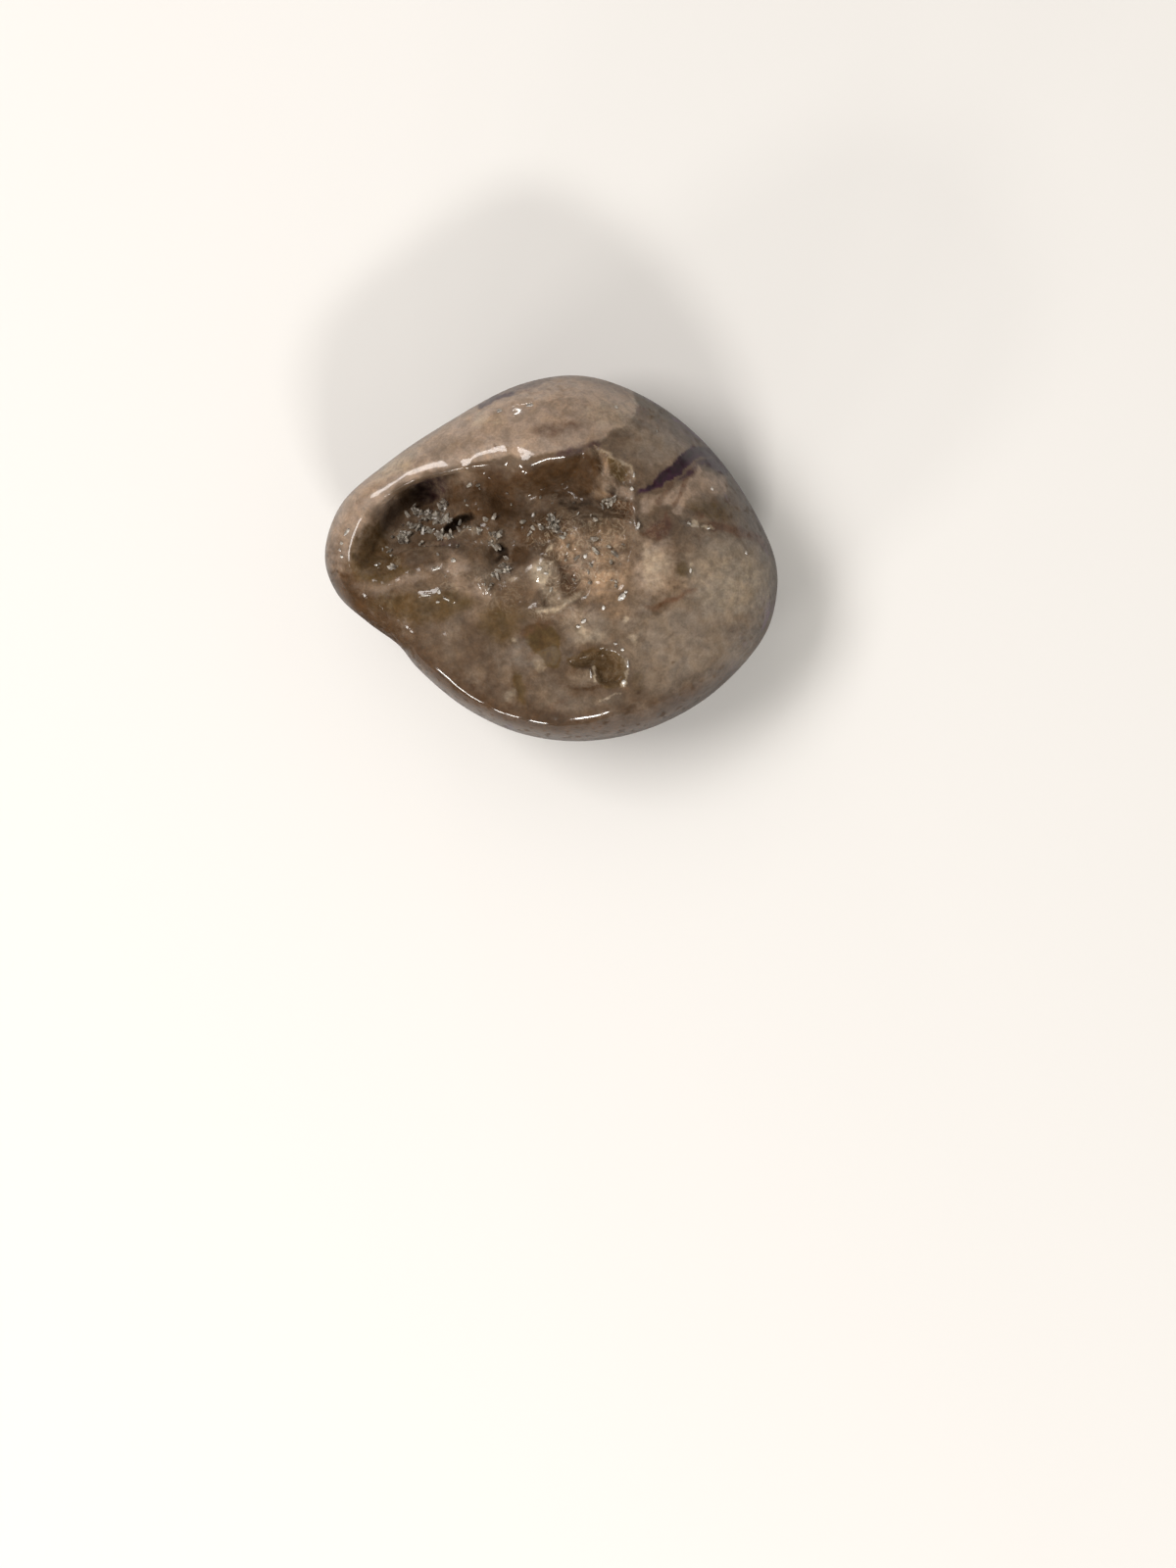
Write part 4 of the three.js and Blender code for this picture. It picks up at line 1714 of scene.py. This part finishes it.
VEIN_MARKS: list[Mark] = [
    Field(Tint.VIOLET, (
        (6.5, 4.3), (7.6, 5.2), (8.6, 5.9), (9.3, 6.7), (9.9, 7.6), (10.8, 8.4), (11.9, 8.6),
        (13.0, 8.7), (14.0, 8.7), (13.4, 7.8), (12.0, 7.5), (10.9, 7.1), (10.2, 6.3), (9.4, 5.6),
        (8.4, 5.0), (7.4, 4.5)), 1.0, 0.12),
    Streak(Tint.VIOLET, (
        (8.1, 5.3), (9.0, 5.95), (9.7, 6.7), (10.3, 7.5), (11.2, 8.0), (13.0, 8.4)),
        0.36, 1.0, 0.4),
    Streak(Tint.DARK, (
        (7.6, 5.0), (8.4, 5.6), (9.2, 6.2), (9.9, 7.1), (10.6, 7.8), (11.8, 8.3)),
        0.26, 0.45, 1.0),
    Field(Tint.VIOLET, (
        (9.6, 5.6), (10.4, 6.6), (11.3, 7.3), (13.8, 8.2), (14.6, 7.4), (13.4, 6.2), (12.4, 6.4),
        (11.2, 6.5), (10.5, 5.6)), 1.0, 0.45),
    Field(Tint.LOBE, (
        (6.9, 4.2), (8.7, 4.8), (10.2, 5.7), (11.9, 6.4), (13.2, 5.5), (12.8, 4.6), (11.0, 3.9),
        (9.9, 2.5), (9.3, 3.3), (8.0, 3.4), (6.9, 2.5)), 0.8, 0.5),
    Streak(Tint.LOBE, ((11.0, 6.6), (10.8, 5.6), (10.3, 4.6), (9.9, 3.0)), 0.28, 0.9, 0.8),
    Patch(Tint.LOBE, (12.6, 5.4), (1.0, 0.8), 0, 0.9, 0.8),
    Streak(Tint.RUSSET, ((10.9, 7.0), (10.3, 5.2), (9.6, 3.6)), 0.2, 0.55, 0.9),
    Streak(Tint.RUSSET, ((9.4, 5.3), (8.8, 4.4), (8.2, 3.9)), 0.2, 0.5, 0.9),
    Field(Tint.RUSSET, (
        (6.65, 1.2), (7.6, 2.0), (8.4, 2.7), (9.0, 3.3), (9.3, 2.5), (9.0, 1.4), (8.3, 0.8),
        (7.4, 1.0)), 0.75, 0.25),
    Patch(Tint.VIOLET, (8.2, 1.9), (1.0, 0.7), 40, 0.2, 0.9),
    Field(Tint.OLIVE, (
        (4.3, 7.6), (5.2, 7.4), (5.9, 6.6), (6.1, 5.7), (5.6, 5.2), (4.9, 5.5), (4.4, 6.4)),
        0.7, 0.3),
    Streak(Tint.LOBE, ((4.2, 6.5), (4.3, 5.5), (5.0, 4.8), (6.0, 4.4)), 0.4, 0.6, 0.8),
    Patch(Tint.TAN, (4.4, 6.7), (0.45, 0.6), 30, 0.5, 0.6),
    # Partly the rock's pale rim and partly a painted glint along the knob's edge.
    Streak(Tint.CREAM, ((3.2, 8.0), (4.3, 7.7), (5.5, 7.0), (6.2, 6.4), (6.4, 5.5)), 0.1, 0.4),
    Field(Tint.RUSSET, (
        (4.4, 4.8), (5.4, 4.0), (6.35, 4.0), (6.6, 2.9), (6.1, 2.2), (5.4, 2.4), (4.4, 3.3)),
        0.45, 0.25),
    Patch(Tint.UMBER_AND_SHADE, (5.5, 3.2), (0.8, 0.9), -30, 0.5, 0.7),
]

RIGHT_MARKS: list[Mark] = [
    Field(Tint.OLIVE, (
        (10.6, 3.7), (11.7, 4.25), (13.6, 4.2), (14.8, 3.3), (13.6, 2.4), (12.1, 2.4), (10.8, 2.8)),
        0.55, 0.5),
    Patch(Tint.RUSSET, (11.4, 2.9), (0.45, 0.35), 0, 0.45, 0.7),
    Patch(Tint.CREAM, (10.8, 2.3), (0.35, 0.35), 0, 0.9, 0.4),
    Patch(Tint.CREAM, (11.7, 1.95), (0.5, 0.14), 0, 0.8, 0.4),
    Streak(Tint.RUSSET, ((12.2, 2.0), (14.0, 1.8), (15.4, 1.5), (17.9, 0.6)), 0.34, 0.75, 0.9),
    Field(Tint.CREAM, (
        (6.5, 0.9), (8.1, 0.9), (9.5, -0.4), (9.3, -2.1), (8.3, -3.2), (7.1, -2.9), (6.4, -1.2)),
        0.45, 1.3),
    Patch(Tint.LOBE, (7.8, -1.0), (1.5, 2.0), 0, 0.8, 1.2),
    Patch(Tint.GREY, (7.9, 8.4), (1.9, 1.3), -20, 0.75, 1.2),
    Patch(Tint.LOBE, (8.4, 8.0), (2.3, 1.6), -25, 0.3, 1.2),
    Patch(Tint.CREAM, (14.0, -2.0), (3.0, 2.4), 0, 0.32, 1.2),
    Patch(Tint.OLIVE, (9.9, -1.2), (0.6, 0.5), 0, 0.7, 0.7),
    Streak(Tint.CREAM, ((10.6, -0.8), (10.6, -1.6)), 0.13, 0.4),
    Patch(Tint.TAN, (10.4, -2.3), (1.8, 0.6), 8, 0.3, 0.9),
    Field(Tint.RUSSET, (
        (6.9, -4.15), (7.8, -4.0), (8.7, -3.2), (10.2, -2.7), (11.3, -2.7), (11.1, -3.2),
        (9.9, -3.4), (9.1, -4.0), (8.4, -4.6), (7.6, -4.75)), 0.8, 0.35),
    Patch(Tint.UMBER_AND_SHADE, (8.4, -4.3), (0.8, 0.5), 30, 0.6, 0.6),
    Patch(Tint.GREY, (10.5, -6.8), (4.8, 3.6), -15, 0.8, 1.0),
    Patch(Tint.GREY, (13.4, -1.8), (3.6, 3.6), 0, 1.0, 0.8),
    Patch(Tint.OLIVE, (6.7, -10.0), (0.6, 1.0), -10, 0.3, 0.9),
    Patch(Tint.UMBER_AND_SHADE, (6.8, -10.8), (0.2, 0.2), 0, 0.7, 0.5),
    Patch(Tint.UMBER_AND_SHADE, (9.1, -8.3), (0.2, 0.15), 0, 0.5, 0.5),
]

LEDGE_MARKS: list[Mark] = [
    Field(Tint.LOBE, (
        (-0.2, 0.3), (0.9, 1.4), (2.8, 1.8), (5.8, 1.7), (6.1, 0.3), (5.8, -2.7), (4.6, -3.6),
        (2.8, -3.6), (2.0, -2.7), (1.0, -1.4), (0.2, -0.6)), 0.42, 0.9),
    Patch(Tint.TAN, (4.2, -1.8), (1.7, 1.9), 0, 0.62, 1.0),
    Patch(Tint.TAN, (2.6, 0.6), (2.2, 1.1), 10, 0.45, 1.2),
    Field(Tint.CREAM, (
        (-1.3, -1.2), (-0.6, -0.6), (0.2, -0.8), (0.9, -1.9), (1.1, -3.0), (2.0, -3.4),
        (0.9, -4.0), (-0.2, -4.3), (-0.7, -3.4), (-1.1, -2.5)), 0.2, 0.5),
    Patch(Tint.CREAM, (-0.7, -1.4), (0.7, 0.7), 30, 0.5, 1.0),
    Streak(Tint.CREAM, ((-0.9, -4.3), (0.2, -4.3), (1.3, -3.7), (2.1, -3.3)), 0.22, 0.4, 1.2),
    Patch(Tint.RUSSET, (1.3, -1.9), (0.8, 1.2), 0, 0.35, 1.2),
    Patch(Tint.TAN, (5.2, -4.1), (1.2, 0.8), 0, 0.25, 1.2),
    Patch(Tint.LOBE, (2.2, -4.7), (1.4, 0.7), 0, 0.4, 0.9),
    Patch(Tint.CREAM, (5.8, -5.0), (0.25, 0.2), 0, 0.6, 0.6),
    Patch(Tint.CREAM, (6.2, -6.5), (0.35, 0.3), 0, 0.35, 0.8),
    Streak(Tint.CREAM, ((-0.9, -4.45), (0.3, -4.3), (1.0, -3.9), (1.7, -3.6)), 0.13, 0.7),
    Field(Tint.CREAM, (
        (-1.2, -1.1), (-0.5, -0.7), (0.1, -1.5), (-0.3, -2.7), (-0.9, -2.4)), 0.75, 0.3),
    Patch(Tint.CREAM, (-0.1, 0.2), (0.5, 0.2), 20, 0.5, 0.6),
]

HOLLOW_MARKS: list[Mark] = [
    # Partly the rock's brown and partly painted shade: umber darkens the whole hollow.
    Field(Tint.UMBER_AND_SHADE, (
        (-15.9, 0.3), (-15.0, 2.3), (-13.3, 4.0), (-11.1, 5.3), (-8.4, 6.0), (-4.7, 6.6),
        (-0.6, 7.3), (2.8, 7.9), (4.0, 6.7), (4.4, 5.2), (6.3, 3.9), (6.0, 2.5), (3.3, 2.0),
        (0.9, 1.2), (-1.2, -0.6), (-2.2, -1.8), (-6.6, -1.0), (-9.9, -1.3), (-12.9, -2.0),
        (-15.0, -1.5)), 0.35, 1.0),
    Field(Tint.OLIVE, (
        (-15.8, 0.3), (-14.9, 1.8), (-13.6, 2.7), (-12.5, 1.8), (-12.3, 0.3), (-10.6, -0.8),
        (-10.2, -1.55), (-12.1, -2.3), (-14.3, -2.45), (-15.5, -1.9)), 0.7, 0.6),
    Patch(Tint.TAN, (-14.2, -0.6), (1.4, 1.3), 0, 0.2, 1.2),
    Streak(Tint.LOBE, ((-15.4, -2.5), (-12.1, -2.4), (-9.9, -1.8), (-8.6, -1.1)), 0.4, 0.4, 1.2),
    # More umber down the hollow and on its far wall, partly brown rock and partly painted shade.
    Patch(Tint.UMBER_AND_SHADE, (-12.4, 2.9), (0.8, 1.2), -30, 0.4, 1.0),
    Patch(Tint.UMBER_AND_SHADE, (-6.9, 4.7), (1.5, 1.0), 0, 0.8, 0.8),
    Patch(Tint.UMBER_AND_SHADE, (-4.5, 4.2), (2.6, 2.2), 0, 0.85, 0.8),
    Field(Tint.UMBER_AND_SHADE, (
        (-2.8, 6.4), (-0.2, 7.0), (2.0, 7.7), (3.7, 7.6), (4.1, 6.6), (3.7, 5.15), (2.8, 4.0),
        (0.6, 3.9), (-1.7, 4.2), (-3.4, 5.0)), 0.85, 0.6),
    Patch(Tint.UMBER_AND_SHADE, (-1.2, 1.8), (1.9, 1.9), 0, 0.65, 0.9),
    Patch(Tint.UMBER_AND_SHADE, (-2.3, -0.1), (0.9, 0.9), 0, 0.9, 0.7),
    Patch(Tint.RUSSET, (-4.3, 5.7), (0.8, 0.6), 0, 0.4, 0.9),
    # Painted shade: a dark sheet in the recess under the lobe.
    Field(Tint.DARK, (
        (-12.3, 4.0), (-12.0, 4.5), (-10.8, 5.3), (-9.7, 5.7), (-8.9, 5.8), (-8.4, 5.4),
        (-8.3, 4.8), (-8.6, 4.3), (-9.7, 4.2), (-10.8, 4.1), (-11.7, 3.85)), 0.25, 0.35),
    Patch(Tint.VIOLET, (-9.4, 5.0), (1.3, 0.6), 10, 0.4, 0.9),
    # Painted shade: the deep slot is painted nearly black.
    Field(Tint.DARK, (
        (-8.7, 1.9), (-8.5, 2.3), (-7.8, 2.65), (-7.2, 2.75), (-6.7, 3.15), (-6.1, 3.25),
        (-5.7, 2.8), (-5.95, 2.4), (-6.5, 2.25), (-6.9, 2.0), (-7.5, 1.7), (-8.2, 1.65)),
        0.9, 0.3),
    # Painted light: a pale streak lightens the pocket's left wall, which the lamps leave in shade.
    Streak(Tint.LOBE, ((-15.6, 0.2), (-14.8, 1.8), (-13.5, 2.9), (-12.6, 3.7)), 0.9, 0.9, 1.2),
    Field(Tint.DARK, (
        (-4.3, 0.5), (-3.5, 0.7), (-3.2, -0.1), (-3.6, -0.6), (-4.2, -0.95), (-4.5, -0.4)),
        0.75, 0.3),
    # Painted shadow: a soft dark band along the crack above the druse line.
    Streak(Tint.DARK, ((0.9, 3.75), (2.0, 3.65), (2.9, 3.95)), 0.3, 0.5, 1.2),
    Patch(Tint.DARK, (4.6, 4.7), (0.5, 0.3), -40, 0.6, 0.8),
    Patch(Tint.VIOLET, (-8.0, 0.8), (0.8, 0.4), 0, 0.25, 0.9),
    Patch(Tint.LOBE, (-7.2, -0.9), (0.9, 0.9), 0, 0.8, 0.8),
    Patch(Tint.TAN, (-5.6, 0.2), (0.9, 1.2), 0, 0.2, 0.9),
    Patch(Tint.TAN, (3.7, 4.4), (0.5, 0.4), 0, 0.6, 0.6),
    Patch(Tint.TAN, (-2.8, -3.0), (1.8, 1.2), 10, 0.12, 1.2),
    Patch(Tint.CREAM, (-2.7, -1.9), (0.4, 0.2), 0, 0.35, 0.6),
    Streak(Tint.CREAM, ((3.1, 2.7), (3.7, 2.7)), 0.1, 0.4),
]

NEAR_MARKS: list[Mark] = [
    # Painted shade: a wide dark band along the near rim darkens the near side.
    Streak(Tint.UMBER_AND_SHADE, (
        (-17.0, -3.0), (-12.6, -7.4), (-10.2, -9.6), (-4.0, -13.4), (2.5, -14.6), (8.0, -13.8),
        (13.5, -10.8)), 2.2, 1.0, 1.2),
    Field(Tint.OLIVE, (
        (-14.9, -3.0), (-12.1, -2.8), (-9.9, -2.45), (-6.9, -2.7), (-4.7, -3.6), (-6.1, -4.7),
        (-9.1, -5.6), (-11.7, -5.4), (-13.8, -4.5)), 0.75, 0.8),
    Patch(Tint.UMBER_AND_SHADE, (-10.8, -4.2), (2.6, 1.6), -20, 0.3, 1.2),
    Patch(Tint.UMBER_AND_SHADE, (-3.0, -3.2), (1.6, 1.2), 0, 0.25, 1.2),
    Patch(Tint.UMBER_AND_SHADE, (-17.0, -1.0), (1.2, 2.6), 0, 0.6, 1.2),
    Patch(Tint.UMBER_AND_SHADE, (-12.3, -3.3), (0.3, 0.2), 0, 0.5, 0.6),
    Patch(Tint.LOBE, (-6.0, -3.3), (1.1, 1.8), 35, 0.4, 1.0),
    Field(Tint.OLIVE, (
        (-1.9, -5.4), (-0.6, -5.2), (0.7, -5.8), (0.9, -7.5), (0.5, -8.9), (-0.4, -8.9),
        (-1.2, -8.0), (-1.7, -6.9)), 1.0, 0.25),
    Patch(Tint.UMBER_AND_SHADE, (-0.3, -7.2), (0.8, 1.5), 10, 0.4, 1.2),
    Field(Tint.RUSSET, (
        (-2.6, -6.0), (-2.2, -5.5), (-1.3, -5.1), (-0.5, -4.9), (-0.2, -5.6), (-0.9, -6.0),
        (-1.7, -6.5), (-2.4, -6.5)), 0.35, 0.3),
    Streak(Tint.UMBER_AND_SHADE, ((-1.8, -6.4), (-1.9, -5.6), (-1.0, -5.3), (0.2, -5.2)), 0.25, 0.5, 1.2),
    Patch(Tint.OLIVE, (-3.9, -5.3), (1.4, 1.5), 10, 0.75, 0.9),
    Patch(Tint.OLIVE, (-3.4, -4.6), (2.2, 0.9), 0, 0.3, 1.0),
    Field(Tint.OLIVE, (
        (-3.1, -9.2), (-2.4, -8.9), (-2.0, -9.7), (-1.6, -10.8), (-1.5, -11.6), (-2.3, -11.2),
        (-2.9, -10.3)), 0.95, 0.4),
    Patch(Tint.GREY, (-2.6, -7.4), (0.4, 1.2), 0, 0.8, 0.9),
    Patch(Tint.CREAM, (-2.8, -6.5), (0.25, 0.2), 0, 0.4, 0.8),
    # Painted shade: a faint darkening over the near half of the face.
    Patch(Tint.UMBER_AND_SHADE, (-3.0, -9.4), (10.0, 4.0), -15, 0.22, 1.3),
    Patch(Tint.CREAM, (-1.0, -8.6), (0.5, 0.35), -30, 0.35, 0.9),
    Patch(Tint.CREAM, (-3.0, -10.7), (0.35, 0.4), 30, 0.3, 0.9),
    Field(Tint.CREAM, (
        (1.7, -5.6), (2.4, -5.3), (3.7, -5.6), (4.6, -6.0), (4.1, -6.8), (2.8, -7.3), (1.7, -7.5),
        (1.4, -6.5)), 0.3, 0.9),
    Field(Tint.GREY, (
        (0.9, -4.6), (3.4, -4.2), (5.2, -5.0), (5.0, -6.9), (2.8, -7.2), (1.1, -7.4), (0.8, -6.0)),
        0.6, 0.8),
    Patch(Tint.CREAM, (2.3, -5.9), (0.4, 0.35), 0, 0.6, 0.5),
    Field(Tint.UMBER_AND_SHADE, (
        (1.1, -7.9), (2.0, -7.6), (3.0, -7.3), (3.9, -7.1), (4.4, -7.6), (5.2, -8.2), (5.5, -9.2),
        (5.3, -9.9), (4.4, -10.3), (3.7, -10.1), (3.3, -9.7), (3.2, -9.0), (2.6, -8.8),
        (1.7, -8.6), (1.15, -8.4)), 0.3, 0.3),
    Field(Tint.OLIVE, (
        (1.1, -7.9), (2.0, -7.6), (3.0, -7.3), (4.2, -7.1), (5.5, -7.8), (5.8, -9.0), (5.5, -10.1),
        (4.3, -10.4), (3.4, -10.0), (3.1, -9.0), (1.7, -8.7)), 0.65, 0.25),
    Field(Tint.DARK, (
        (1.15, -8.0), (2.2, -7.7), (3.1, -7.4), (3.9, -7.4), (4.3, -8.2), (3.7, -8.6),
        (2.8, -8.85), (1.7, -8.6)), 0.12, 0.3),
    Field(Tint.GREY, ((1.3, -9.1), (3.0, -8.8), (3.2, -9.9), (1.7, -10.0)), 0.7, 0.5),
    Streak(Tint.CREAM, ((3.0, -8.9), (3.2, -9.7)), 0.12, 0.9),
    Streak(Tint.UMBER_AND_SHADE, ((1.5, -10.1), (2.6, -10.3), (3.5, -10.1)), 0.13, 0.7),
    # Partly the rock's golden rim and partly a painted highlight along the pit's right edge.
    Streak(Tint.CREAM, ((5.7, -8.0), (5.8, -9.0), (5.5, -9.9)), 0.12, 0.5),
    Patch(Tint.CREAM, (5.4, -9.9), (0.25, 0.3), 0, 0.6, 0.6),
    Field(Tint.GREY, (
        (-0.2, -10.1), (2.8, -10.5), (5.8, -10.5), (5.8, -11.7), (3.5, -12.2), (0.6, -12.5),
        (-1.3, -12.0)), 0.5, 0.9),
    Patch(Tint.RUSSET, (0.5, -11.4), (0.8, 0.45), 20, 0.3, 0.9),
    Streak(Tint.CREAM, ((3.7, -11.2), (5.4, -10.7)), 0.07, 0.4),
    Patch(Tint.VIOLET, (-3.3, -13.2), (0.35, 0.3), 0, 0.7, 0.5),
]

MARKS: list[Mark] = [
    *LOBE_MARKS, *VEIN_MARKS, *RIGHT_MARKS, *LEDGE_MARKS, *HOLLOW_MARKS, *NEAR_MARKS, *WORN_MARKS,
    *CRUMBLY, *DUSTING,
]


def main() -> None:
    """Builds the studio and the stone, and reports each piece."""
    logging.basicConfig(level=logging.INFO, format="%(name)s: %(message)s")
    Studio().build()
    pebble = Pebble()
    pieces = [pebble.build()]
    grains = DruseGrains(pebble)
    pieces += [grains.build_crystals(), grains.build_faces()]
    for piece in pieces:
        LOG.info("%s has %d triangles", piece.name, len(piece.data.polygons))
    LOG.info("the packed part is dressed: %s", ", ".join(frame["nodes"]))


if __name__ == "__main__":
    main()
